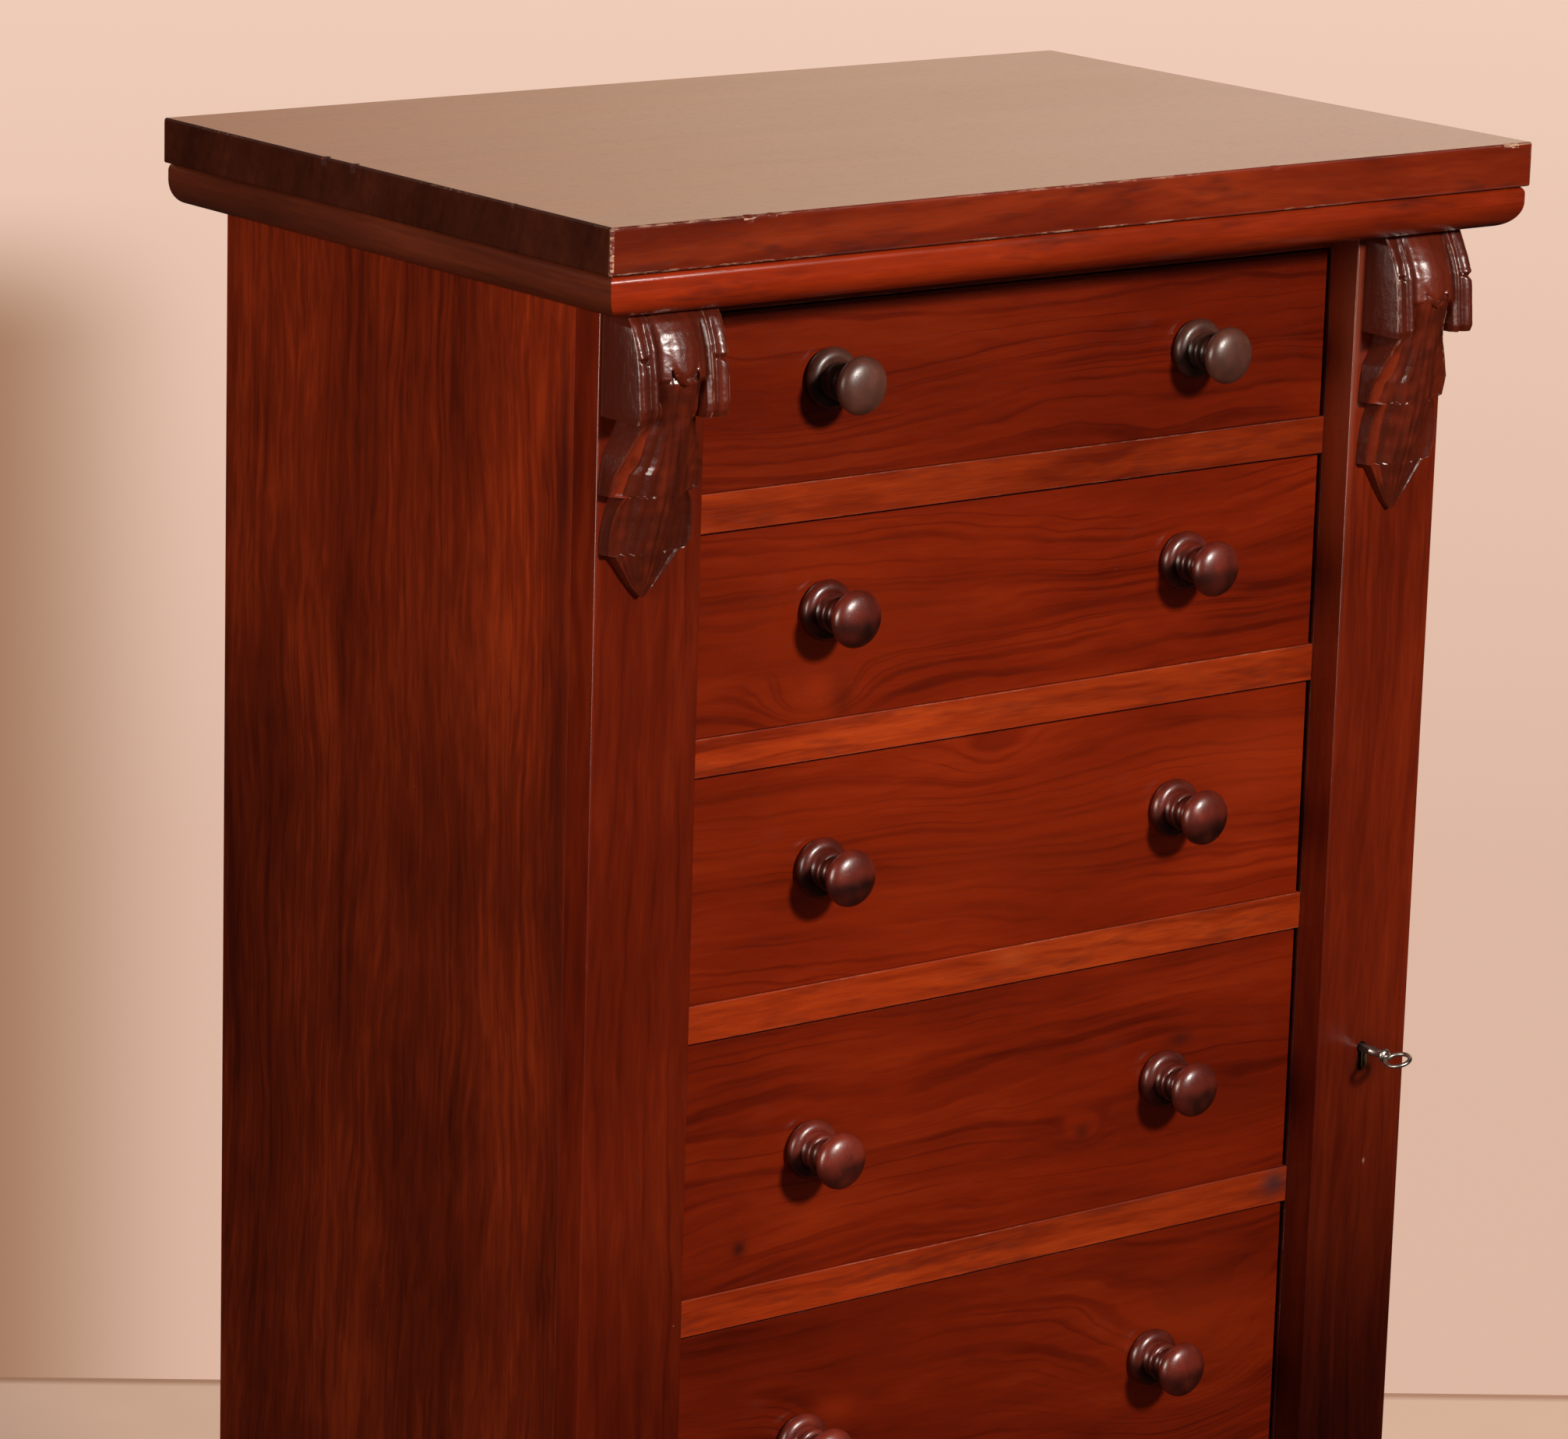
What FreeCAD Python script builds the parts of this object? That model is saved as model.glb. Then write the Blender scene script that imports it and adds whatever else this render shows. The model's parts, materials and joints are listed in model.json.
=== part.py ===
import FreeCAD, Part
import os

# Wellington chest: seven graduated drawers, a fixed pilaster at the left and a hinged locking
# flap at the right, carved corbels under a moulded top, and a plinth.
# Frame: origin on the floor at the middle of the chest, front towards -Y, +Z up.

doc = FreeCAD.newDocument("WellingtonChest")
sheet = doc.addObject("Spreadsheet::Sheet", "Sizes")

# Driving sizes in millimetres
SIZES = {
    # top
    "top_width": 600,
    "top_depth": 398,
    "slab_thick": 23.5,
    "slab_arris": 1,
    "moulding_high": 22.5,
    "moulding_set_in": 2,
    "moulding_round": 14,
    "moulding_lip": 4,
    # carcase
    "side_overhang": 22,
    "front_overhang": 38,
    "back_overhang": 28,
    "side_thick": 20,
    "back_thick": 9,
    "back_rebate": 8,
    "back_board_count": 4,
    "back_board_lap": 6,
    "bottom_thick": 18,
    "board_housing": 6,
    "top_rail_high": 12,
    "rail_high": 20,
    "rail_deep": 60,
    "stile_thick": 20,
    "pilaster_width": 64,
    "flap_width": 64,
    "pilaster_thick": 20,
    "arris_round": 1,
    # corbels
    "corbel_width": 54,
    "corbel_set_in": 1.4,
    "corbel_roll_high": 52,
    "corbel_high": 144,
    "corbel_proud": 33,
    "flap_corbel_high": 151,
    "flap_corbel_proud": 29.5,
    "corbel_eye_proud": 1.5,
    "corbel_eye_width": 27,
    "corbel_ear_width": 11,
    "corbel_groove_deep": 3,
    "leaf_proud": 27,
    "leaf_width": 53.4,
    # plinth
    "plinth_high": 80,
    "plinth_step": 10,
    "plinth_thick": 20,
    "base_moulding_high": 12,
    "base_moulding_round": 7,
    "glue_block": 26,
    "glue_block_high": 70,
    # openings of the seven drawers, from the top down
    "opening_1_high": 91,
    "opening_2_high": 104.5,
    "opening_3_high": 118.5,
    "opening_4_high": 136,
    "opening_5_high": 152,
    "opening_6_high": 168,
    "opening_7_high": 184,
    # drawers
    "front_thick": 20,
    "front_set_back": 1.5,
    "front_left_gap": 0.8,
    "front_right_gap": 2.4,
    "front_top_gap": 1.2,
    "slide_gap": 0.3,
    "lining_thick": 8,
    "lining_top_drop": 2,
    "drawer_rear_space": 11.5,
    "drawer_bottom_thick": 6,
    "drawer_groove_deep": 4,
    "drawer_bottom_rise": 9,
    "dovetail_length": 14,
    "dovetail_wide": 20,
    "dovetail_narrow": 15,
    "dovetail_pitch": 30,
    "runner_thick": 14,
    "runner_width": 60,
    "guide_high": 22,
    "stop_gap": 0.3,
    "stop_width": 14,
    "stop_high": 24,
    # knobs
    "knob_spacing": 240,
    "knob_rise_1": 3,
    "knob_rise_2": 5,
    "knob_rise_3": 1.5,
    "knob_rise_4": 0,
    "knob_rise_5": 4.5,
    "knob_rise_6": 3,
    "knob_rise_7": 3,
    "rosette_radius": 15.5,
    "rosette_thick": 4,
    "rosette_collar_radius": 11,
    "rosette_collar_thick": 3,
    "knob_neck_radius": 7,
    "knob_reach": 26,
    "knob_head_radius": 15.5,
    "knob_head_half_thick": 8,
    "spigot_radius": 5,
    "spigot_length": 15,
    # locking flap and its hinges
    "flap_gap": 1,
    "hinge_count": 3,
    "hinge_high": 64,
    "hinge_end_distance": 150,
    "leaf_thick": 1.5,
    "leaf_reach": 15,
    "knuckle_radius": 2.5,
    "knuckle_clearance": 0.3,
    "hinge_pin_radius": 1.2,
    "pin_clearance": 0.15,
    # lock
    "lock_width": 46,
    "lock_high": 42,
    "lock_deep": 11,
    "lock_wall": 1.5,
    "lock_key_drop": 4,
    "keyhole_radius": 3.4,
    "keyhole_slot_width": 3.6,
    "keyhole_slot_drop": 13,
    "bolt_length": 26,
    "bolt_high": 6,
    "bolt_thick": 4,
    "bolt_rise": 12.5,
    "bolt_set_back": 2.4,
    "bolt_travel_space": 3,
    "staple_width": 3,
    "staple_plate_thick": 1.5,
    "staple_plate_width": 14,
    "staple_plate_high": 34,
    "staple_reach": 8,
    "staple_rim": 2.4,
    "staple_slot_clearance": 1.4,
    # key
    "key_shaft_radius": 2.6,
    "key_reach": 37,
    "key_bow_radius": 11,
    "key_bow_hole_radius": 7,
    "key_bow_thick": 3.2,
    "key_collar_radius": 4.2,
    "key_collar_thick": 3,
    "key_bit_reach": 11,
    "key_bit_long": 5,
    "key_bit_thick": 2.4,
    # one overrun for every cut that leaves a face
    "overrun": 2,
}


class Size:
    """A size that carries its spreadsheet formula and its present value."""

    def __init__(self, formula, value):
        self.formula = formula
        self.value = value

    def join(self, sign, other, value):
        return Size("(" + self.formula + " " + sign + " " + other.formula + ")", value)

    def __add__(self, other):
        other = as_size(other)
        return self.join("+", other, self.value + other.value)

    def __radd__(self, other):
        return as_size(other) + self

    def __sub__(self, other):
        other = as_size(other)
        return self.join("-", other, self.value - other.value)

    def __rsub__(self, other):
        return as_size(other) - self

    def __mul__(self, other):
        other = as_size(other)
        return self.join("*", other, self.value * other.value)

    def __rmul__(self, other):
        return as_size(other) * self

    def __truediv__(self, other):
        other = as_size(other)
        return self.join("/", other, self.value / other.value)

    def __neg__(self):
        return Size("(0 - " + self.formula + ")", -self.value)


def as_size(amount):
    if isinstance(amount, Size):
        return amount
    return Size(repr(amount), float(amount))


def write_sheet():
    """Fills one row for each driving size and returns them by name."""
    named = {}
    for row, (alias, value) in enumerate(SIZES.items(), start=1):
        sheet.set("A" + str(row), alias)
        sheet.set("B" + str(row), str(value))
        sheet.setAlias("B" + str(row), alias)
        named[alias] = Size("Sizes." + alias, float(value))
    doc.recompute()
    return named


given = write_sheet()


def s(alias):
    return given[alias]


ALONG_Y = FreeCAD.Rotation(FreeCAD.Vector(1, 0, 0), -90)
TOWARDS_FRONT = FreeCAD.Rotation(FreeCAD.Vector(1, 0, 0), 90)
UPRIGHT = FreeCAD.Rotation()
QUARTER_LEFT = FreeCAD.Rotation(FreeCAD.Vector(0, 0, 1), -90)
QUARTER_RIGHT = FreeCAD.Rotation(FreeCAD.Vector(0, 0, 1), 90)


def bind(obj, amounts):
    for prop, amount in amounts.items():
        obj.setExpression(prop, as_size(amount).formula)
    return obj


def place(obj, x, y, z, rotation=UPRIGHT):
    obj.Placement = FreeCAD.Placement(FreeCAD.Vector(0, 0, 0), rotation)
    return bind(obj, {"Placement.Base.x": x, "Placement.Base.y": y, "Placement.Base.z": z})


def box(name, x_range, y_range, z_range):
    """A board between two places on each axis."""
    obj = doc.addObject("Part::Box", name)
    bind(obj, {
        "Length": x_range[1] - x_range[0],
        "Width": y_range[1] - y_range[0],
        "Height": z_range[1] - z_range[0],
    })
    return place(obj, x_range[0], y_range[0], z_range[0])


def cylinder(name, radius, length, x, y, z, rotation=UPRIGHT):
    obj = doc.addObject("Part::Cylinder", name)
    bind(obj, {"Radius": radius, "Height": length})
    return place(obj, x, y, z, rotation)


def cone(name, radius_1, radius_2, length, x, y, z, rotation):
    obj = doc.addObject("Part::Cone", name)
    bind(obj, {"Radius1": radius_1, "Radius2": radius_2, "Height": length})
    return place(obj, x, y, z, rotation)


def wedge(name, outer_range, inner_range, thick, z_range, inner_z_range, x, y, rotation=UPRIGHT):
    """A board whose far face is narrower or wider than its near face."""
    obj = doc.addObject("Part::Wedge", name)
    bind(obj, {
        "Xmin": outer_range[0], "Xmax": outer_range[1],
        "X2min": inner_range[0], "X2max": inner_range[1],
        "Ymin": 0, "Ymax": thick,
        "Zmin": z_range[0], "Zmax": z_range[1],
        "Z2min": inner_z_range[0], "Z2max": inner_z_range[1],
    })
    return place(obj, x, y, 0, rotation)


def fuse(name, pieces):
    obj = doc.addObject("Part::MultiFuse", name)
    obj.Shapes = pieces
    obj.Refine = True
    return obj


def cut(name, base, tools):
    tool = tools[0]
    if len(tools) > 1:
        tool = fuse(name + "_tools", tools)
    obj = doc.addObject("Part::Cut", name)
    obj.Base = base
    obj.Tool = tool
    return obj


def common(name, base, tool):
    obj = doc.addObject("Part::Common", name)
    obj.Base = base
    obj.Tool = tool
    return obj


def gather(name, pieces):
    """Several pieces of one kind as one sub-part."""
    obj = doc.addObject("Part::Compound", name)
    obj.Links = pieces
    return obj


def soften(name, base, wanted, radius, kind="Part::Fillet"):
    """Rounds or bevels the edges of base that the test `wanted` picks by their extents."""
    doc.recompute()
    obj = doc.addObject(kind, name)
    obj.Base = base
    picked = []
    for number, edge in enumerate(base.Shape.Edges, start=1):
        if wanted(edge.BoundBox):
            picked.append((number, radius.value, radius.value))
    obj.Edges = picked
    return obj


def near(a, b):
    return abs(a - b) < s("overrun").value / 100


nodes = []


def keep(obj, label):
    obj.Label = label
    nodes.append(obj)
    return obj


# Places on the three axes, worked out from the driving sizes
top_half = s("top_width") / 2
side_out = top_half - s("side_overhang")
side_in = side_out - s("side_thick")
open_left = side_out - s("pilaster_width")
open_right = side_out - s("flap_width")

slab_front = -s("top_depth") / 2
slab_back = s("top_depth") / 2
pilaster_front = slab_front + s("front_overhang")
left_corbel_x = -side_out + s("corbel_set_in") + s("corbel_width") / 2
rail_front = pilaster_front + s("pilaster_thick")
stile_back = rail_front + s("stile_thick")
carcase_back = slab_back - s("back_overhang")
inside_back = carcase_back - s("back_thick")
front_face = rail_front + s("front_set_back")
front_back = front_face + s("front_thick")
drawer_back = inside_back - s("drawer_rear_space")
plinth_front = pilaster_front - s("plinth_step")
plinth_half = side_out + s("plinth_step")

DRAWERS = 7
plinth_top = s("plinth_high")
base_moulding_top = plinth_top + s("base_moulding_high")
bottom_top = plinth_top + s("bottom_thick")
opening_low = {DRAWERS: bottom_top}
opening_high = {}
for number in range(DRAWERS, 0, -1):
    opening_high[number] = opening_low[number] + s("opening_" + str(number) + "_high")
    opening_low[number - 1] = opening_high[number] + s("rail_high")
moulding_low = opening_high[1] + s("top_rail_high")
slab_low = moulding_low + s("moulding_high")
slab_top = slab_low + s("slab_thick")


# Top: a square-edged slab with a thumb moulding planted under its front and sides
def make_top():
    slab = box("slab_board", (-top_half, top_half), (slab_front, slab_back), (slab_low, slab_top))
    keep(soften("slab_eased", slab, lambda b: True, s("slab_arris"), "Part::Chamfer"), "top_board")

    mould_half = top_half - s("moulding_set_in")
    mould_front = slab_front + s("moulding_set_in")
    mould_back = slab_back - s("moulding_set_in")
    deep = mould_half - side_out
    block = box("moulding_block", (-mould_half, mould_half), (mould_front, mould_back),
                (moulding_low, slab_low))

    def level(b, z):
        back = near(b.YMin, mould_back.value)
        return near(b.ZMin, z.value) and near(b.ZMax, z.value) and not back

    thumb = soften("moulding_thumb", block, lambda b: level(b, moulding_low), s("moulding_round"))
    lip = soften("moulding_lip_round", thumb, lambda b: level(b, slab_low), s("moulding_lip"))

    z_range = (moulding_low, slab_low)
    long = mould_back - mould_front
    front_plan = wedge("front_moulding_plan", (-mould_half, mould_half), (-side_out, side_out), deep,
                       z_range, z_range, 0, mould_front)
    left_plan = wedge("left_moulding_plan", (0, long), (0, long - deep), deep,
                      z_range, z_range, -mould_half, mould_back, QUARTER_LEFT)
    right_plan = wedge("right_moulding_plan", (0, long), (deep, long), deep,
                       z_range, z_range, mould_half, mould_front, QUARTER_RIGHT)
    front = common("front_moulding_run", lip, front_plan)
    ledge = box("frieze_board", (-side_out, side_out), (mould_front + deep, rail_front), z_range)
    keep(fuse("front_moulding", [front, ledge]), "top_moulding_front")
    keep(common("left_moulding", lip, left_plan), "top_moulding_left")
    keep(common("right_moulding", lip, right_plan), "top_moulding_right")


# Carcase: two sides, a top and a bottom board housed in them, and four lapped back boards
def make_side(name, label, sign):
    x_range = mirrored(side_in, side_out, sign)
    board = box(name + "_board", x_range, (rail_front, carcase_back), (plinth_top, slab_low))
    over = s("overrun")
    inner = mirrored(side_in - over, side_in + s("board_housing"), sign)
    rebate = mirrored(side_in - over, side_in + s("back_rebate"), sign)
    tools = [
        box(name + "_low_housing", inner, (stile_back, inside_back), (plinth_top - over, bottom_top)),
        box(name + "_high_housing", inner, (stile_back, inside_back), (moulding_low, slab_low + over)),
        box(name + "_rebate", rebate, (inside_back, carcase_back + over),
            (plinth_top - over, slab_low + over)),
    ]
    x_leaf = side_out - s("leaf_reach")
    if sign > 0:
        for index, (low, high) in enumerate(hinge_ranges()):
            recess = (x_leaf, side_out + over)
            tools.append(box("side_hinge_recess_" + str(index), recess,
                             (rail_front - over, rail_front + s("leaf_thick")), (low, high)))
    keep(cut(name, board, tools), label)


def make_housed_board(name, label, z_range):
    """A board whose front edge shows between the sides and whose ends sit in their housings."""
    front = box(name + "_front", (-side_in, side_in), (rail_front, stile_back), z_range)
    reach = side_in + s("board_housing")
    rear = box(name + "_rear", (-reach, reach), (stile_back, inside_back), z_range)
    keep(fuse(name, [front, rear]), label)


def make_back_boards():
    half = side_in + s("back_rebate")
    count = int(SIZES["back_board_count"])
    wide = 2 * half / s("back_board_count")
    middle = carcase_back - s("back_thick") / 2
    over = s("overrun")
    boards = []
    for index in range(count):
        left = -half + wide * index
        right = left + wide
        last = index == count - 1
        lapped = right if last else right + s("back_board_lap")
        name = "back_board_" + str(index)
        board = box(name + "_blank", (left, lapped), (inside_back, carcase_back), (plinth_top, slab_low))
        tools = []
        if not last:
            tools.append(box(name + "_front_lap", (right, lapped + over), (inside_back - over, middle),
                             (plinth_top - over, slab_low + over)))
        if index > 0:
            tools.append(box(name + "_back_lap", (left - over, left + s("back_board_lap")),
                             (middle, carcase_back + over), (plinth_top - over, slab_low + over)))
        boards.append(cut(name, board, tools))
    keep(gather("back_panel", boards), "back_boards")


# Front frame: stiles behind the pilaster and the flap, with a rail under each drawer
def make_front_frame():
    y_range = (rail_front, stile_back)
    z_range = (bottom_top, moulding_low)
    keep(box("stile_l", (-side_in, -open_left), y_range, z_range), "stile_left")
    stile = box("stile_r", (open_right, side_in), y_range, z_range)
    low, high = staple_z_range()
    x_range = staple_plate_x_range()
    recess = box("stile_staple_recess", x_range,
                 (rail_front - s("overrun"), rail_front + s("staple_plate_thick")), (low, high))
    keep(cut("stile_r_recessed", stile, [recess]), "stile_right")

    rails = []
    for number in range(1, DRAWERS):
        rails.append(make_rail(number, (opening_high[number + 1], opening_low[number])))
    rails.append(make_rail(0, (opening_high[1], moulding_low)))
    keep(gather("rails", rails), "drawer_rails")


def make_rail(number, z_range):
    """A rail between the stiles whose rear part widens out to the sides."""
    name = "rail_" + str(number)
    front = box(name + "_front", (-open_left, open_right), (rail_front, stile_back), z_range)
    rear = box(name + "_rear", (-side_in, side_in), (stile_back, rail_front + s("rail_deep")), z_range)
    return fuse(name, [front, rear])


def make_runners():
    """Runners, guides and stops: one pair of each for a drawer, the lowest running on the bottom board."""
    runners = []
    guides = []
    stops = []
    rear = rail_front + s("rail_deep")
    for number in range(1, DRAWERS + 1):
        low = opening_low[number]
        for side, sign, open_half in (("l", -1, open_left), ("r", 1, open_right)):
            name = "_" + str(number) + side
            run_x = mirrored(side_in - s("runner_width"), side_in, sign)
            if number < DRAWERS:
                runners.append(box("runner" + name, run_x, (rear, inside_back),
                                   (low - s("runner_thick"), low)))
            guide_x = mirrored(open_half, side_in, sign)
            guides.append(box("guide" + name, guide_x, (stile_back, inside_back),
                              (low, low + s("guide_high"))))
            stop_x = mirrored(open_half - s("stop_width"), open_half, sign)
            stops.append(box("stop" + name, stop_x, (drawer_back + s("stop_gap"), inside_back),
                             (low, low + s("stop_high"))))
    keep(gather("runners", runners), "drawer_runners")
    keep(gather("guides", guides), "drawer_guides")
    keep(gather("stops", stops), "drawer_stops")


def mirrored(near_x, far_x, sign):
    """The same range of places on the right or, mirrored, on the left."""
    if sign > 0:
        return (near_x, far_x)
    return (-far_x, -near_x)


# Pilaster, flap and corbels
def rounded_strip(name, x_range, z_range):
    strip = box(name + "_strip", x_range, (pilaster_front, rail_front), z_range)
    return soften(name + "_soft", strip,
                  lambda b: near(b.YMax, pilaster_front.value) and b.ZLength > b.XLength, s("arris_round"))


def make_pilaster():
    strip = rounded_strip("pilaster", (-side_out, -open_left), (base_moulding_top, moulding_low))
    keep(strip, "pilaster_left")


# Places along each curve of the carving, as shares of the corbel's height and proud size
ROLL_TOP_SHARE = 0.52
ROLL_MIDDLE_SHARE = 0.93
ROLL_LOW_SHARE = 0.94
LEAF_SIDE_SHARES = [(0.33, 1), (0.5, 0.86), (0.635, 0.72), (0.76, 0.575), (0.87, 0.42), (1, 0.17)]
LEAF_UPPER_LOBE_SHARES = [(0.33, 0.29), (0.42, 0.37), (0.5, 0.465), (0.634, 0.498)]
LEAF_MIDDLE_LOBE_SHARES = [(0.64, 0.38), (0.7, 0.44), (0.77, 0.468), (0.836, 0.47)]
LEAF_TIP_LOBE_SHARES = [(0.842, 0.37), (0.88, 0.3), (0.94, 0.16), (1, 0.02)]
LEAF_EDGE_SHARE = 0.3
LEAF_CROWN_SHARE = 0.56


def roll_slice(width, proud, left):
    """A slice of the scrolled roll, flat below and curved in front, from left to left + width."""
    high = s("corbel_roll_high").value
    top = FreeCAD.Vector(left, -proud * ROLL_TOP_SHARE, 0)
    middle = FreeCAD.Vector(left, -proud * ROLL_MIDDLE_SHARE, -high / 2)
    low = FreeCAD.Vector(left, -proud * ROLL_LOW_SHARE, -high)
    back_top = FreeCAD.Vector(left, 0, 0)
    back_low = FreeCAD.Vector(left, 0, -high)
    arc = Part.Arc(top, middle, low).toShape()
    outline = [Part.makeLine(back_top, top), arc, Part.makeLine(low, back_low),
               Part.makeLine(back_low, back_top)]
    return Part.Face(Part.Wire(outline)).extrude(FreeCAD.Vector(width, 0, 0))


def curve_through(points):
    spline = Part.BSplineCurve()
    spline.interpolate(points)
    return spline.toShape()


def leaf_solid(high, proud):
    """The acanthus leaf below the roll: its side curve, its lobed outline and its crown, intersected."""
    width = s("leaf_width").value

    side_points = [FreeCAD.Vector(-width, -proud * deep, -high * down) for down, deep in LEAF_SIDE_SHARES]
    start = FreeCAD.Vector(-width, 0, side_points[0].z)
    end = FreeCAD.Vector(-width, 0, side_points[-1].z)
    side_edges = [Part.makeLine(start, side_points[0]), curve_through(side_points),
                  Part.makeLine(side_points[-1], end), Part.makeLine(end, start)]
    side = Part.Face(Part.Wire(side_edges)).extrude(FreeCAD.Vector(2 * width, 0, 0))

    def outline_half(sign):
        lobes = []
        for shares in (LEAF_UPPER_LOBE_SHARES, LEAF_MIDDLE_LOBE_SHARES, LEAF_TIP_LOBE_SHARES):
            lobes.append([FreeCAD.Vector(sign * width * half, 0, -high * down) for down, half in shares])
        edges = []
        for index, lobe in enumerate(lobes):
            if index > 0:
                edges.append(Part.makeLine(lobes[index - 1][-1], lobe[0]))
            edges.append(curve_through(lobe))
        return edges, lobes[0][0], lobes[-1][-1]

    left_edges, left_top, left_tip = outline_half(-1)
    right_edges, right_top, right_tip = outline_half(1)
    edges = left_edges + right_edges
    edges += [Part.makeLine(left_top, right_top), Part.makeLine(left_tip, right_tip)]
    outline = Part.Wire(Part.__sortEdges__(edges))
    front = Part.Face(outline).extrude(FreeCAD.Vector(0, -proud, 0))

    half = width * LEAF_CROWN_SHARE
    edge_left = FreeCAD.Vector(-half, -proud * LEAF_EDGE_SHARE, -high)
    edge_right = FreeCAD.Vector(half, -proud * LEAF_EDGE_SHARE, -high)
    crown_arc = Part.Arc(edge_left, FreeCAD.Vector(0, -proud, -high), edge_right).toShape()
    back_left = FreeCAD.Vector(-half, 0, -high)
    back_right = FreeCAD.Vector(half, 0, -high)
    crown_edges = [crown_arc, Part.makeLine(edge_right, back_right), Part.makeLine(back_right, back_left),
                   Part.makeLine(back_left, edge_left)]
    crown = Part.Face(Part.Wire(crown_edges)).extrude(FreeCAD.Vector(0, 0, high))
    return side.common(front).common(crown)


def corbel_shape(high, proud):
    """Two ears and a prouder eye with grooves between them, over the leaf."""
    wide = s("corbel_width").value
    ear = s("corbel_ear_width").value
    eye = s("corbel_eye_width").value
    leaf_proud = s("leaf_proud").value * proud / s("corbel_proud").value
    sunk = proud - s("corbel_groove_deep").value
    core = roll_slice(wide, sunk, -wide / 2)
    left_ear = roll_slice(ear, proud, -wide / 2)
    right_ear = roll_slice(ear, proud, wide / 2 - ear)
    eye_roll = roll_slice(eye, proud + s("corbel_eye_proud").value, -eye / 2)
    leaf = leaf_solid(high, leaf_proud)
    carved = core.fuse([left_ear, right_ear, eye_roll, leaf]).removeSplitter()
    if len(carved.Solids) != 1:
        raise RuntimeError("the corbel's leaf doesn't meet its roll")
    return carved.Solids[0]


def make_corbel(label, x, top, high, proud):
    obj = doc.addObject("Part::Feature", label + "_carving")
    obj.Shape = corbel_shape(high.value, proud.value)
    place(obj, x, pilaster_front, top)
    return keep(obj, label)


# Flap and lock places
flap_x = (open_right, side_out)
flap_z = (base_moulding_top + s("flap_gap"), moulding_low - s("flap_gap"))
hinge_x = side_out + s("knuckle_radius") + s("knuckle_clearance")
key_x = (open_right + side_out) / 2
key_z = (opening_low[4] + opening_high[4]) / 2
lock_x = (key_x - s("lock_width") / 2, key_x + s("lock_width") / 2)
lock_z = (key_z - s("lock_high") / 2 + s("lock_key_drop"), key_z + s("lock_high") / 2 + s("lock_key_drop"))
lock_front = rail_front - s("lock_deep")
bolt_z = (key_z + s("bolt_rise"), key_z + s("bolt_rise") + s("bolt_high"))
bolt_back = rail_front - s("bolt_set_back")
bolt_y = (bolt_back - s("bolt_thick"), bolt_back)
bolt_right = lock_x[1] - s("lock_wall") - s("bolt_travel_space")
bolt_x = (bolt_right - s("bolt_length"), bolt_right)
staple_right = bolt_x[0] - s("knuckle_clearance")
staple_x = (staple_right - s("staple_width"), staple_right)
staple_front = rail_front - s("staple_reach")


def hinge_ranges():
    """The low and high place of each hinge, the outer two one end distance from the flap's ends."""
    first = flap_z[0] + s("hinge_end_distance")
    last = flap_z[1] - s("hinge_end_distance") - s("hinge_high")
    count = int(SIZES["hinge_count"])
    ranges = []
    for index in range(count):
        low = first + (last - first) * index / (s("hinge_count") - 1)
        ranges.append((low, low + s("hinge_high")))
    return ranges


def staple_plate_x_range():
    middle = (staple_x[0] + staple_x[1]) / 2
    return (middle - s("staple_plate_width") / 2, middle + s("staple_plate_width") / 2)


def staple_z_range():
    middle = (bolt_z[0] + bolt_z[1]) / 2
    return (middle - s("staple_plate_high") / 2, middle + s("staple_plate_high") / 2)


def make_flap():
    over = s("overrun")
    strip = rounded_strip("flap", flap_x, flap_z)
    tools = [
        box("lock_mortise", lock_x, (lock_front, rail_front + over), lock_z),
        cylinder("keyhole_round", s("keyhole_radius"), s("pilaster_thick"), key_x, pilaster_front - over,
                 key_z, ALONG_Y),
        box("keyhole_slot", (key_x - s("keyhole_slot_width") / 2, key_x + s("keyhole_slot_width") / 2),
            (pilaster_front - over, lock_front + over), (key_z - s("keyhole_slot_drop"), key_z)),
    ]
    for index, (low, high) in enumerate(hinge_ranges()):
        tools.append(box("flap_hinge_recess_" + str(index), (side_out - s("leaf_reach"), side_out + over),
                         (rail_front - s("leaf_thick"), rail_front + over), (low, high)))
    keep(cut("flap_board", strip, tools), "locking_flap")


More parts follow.
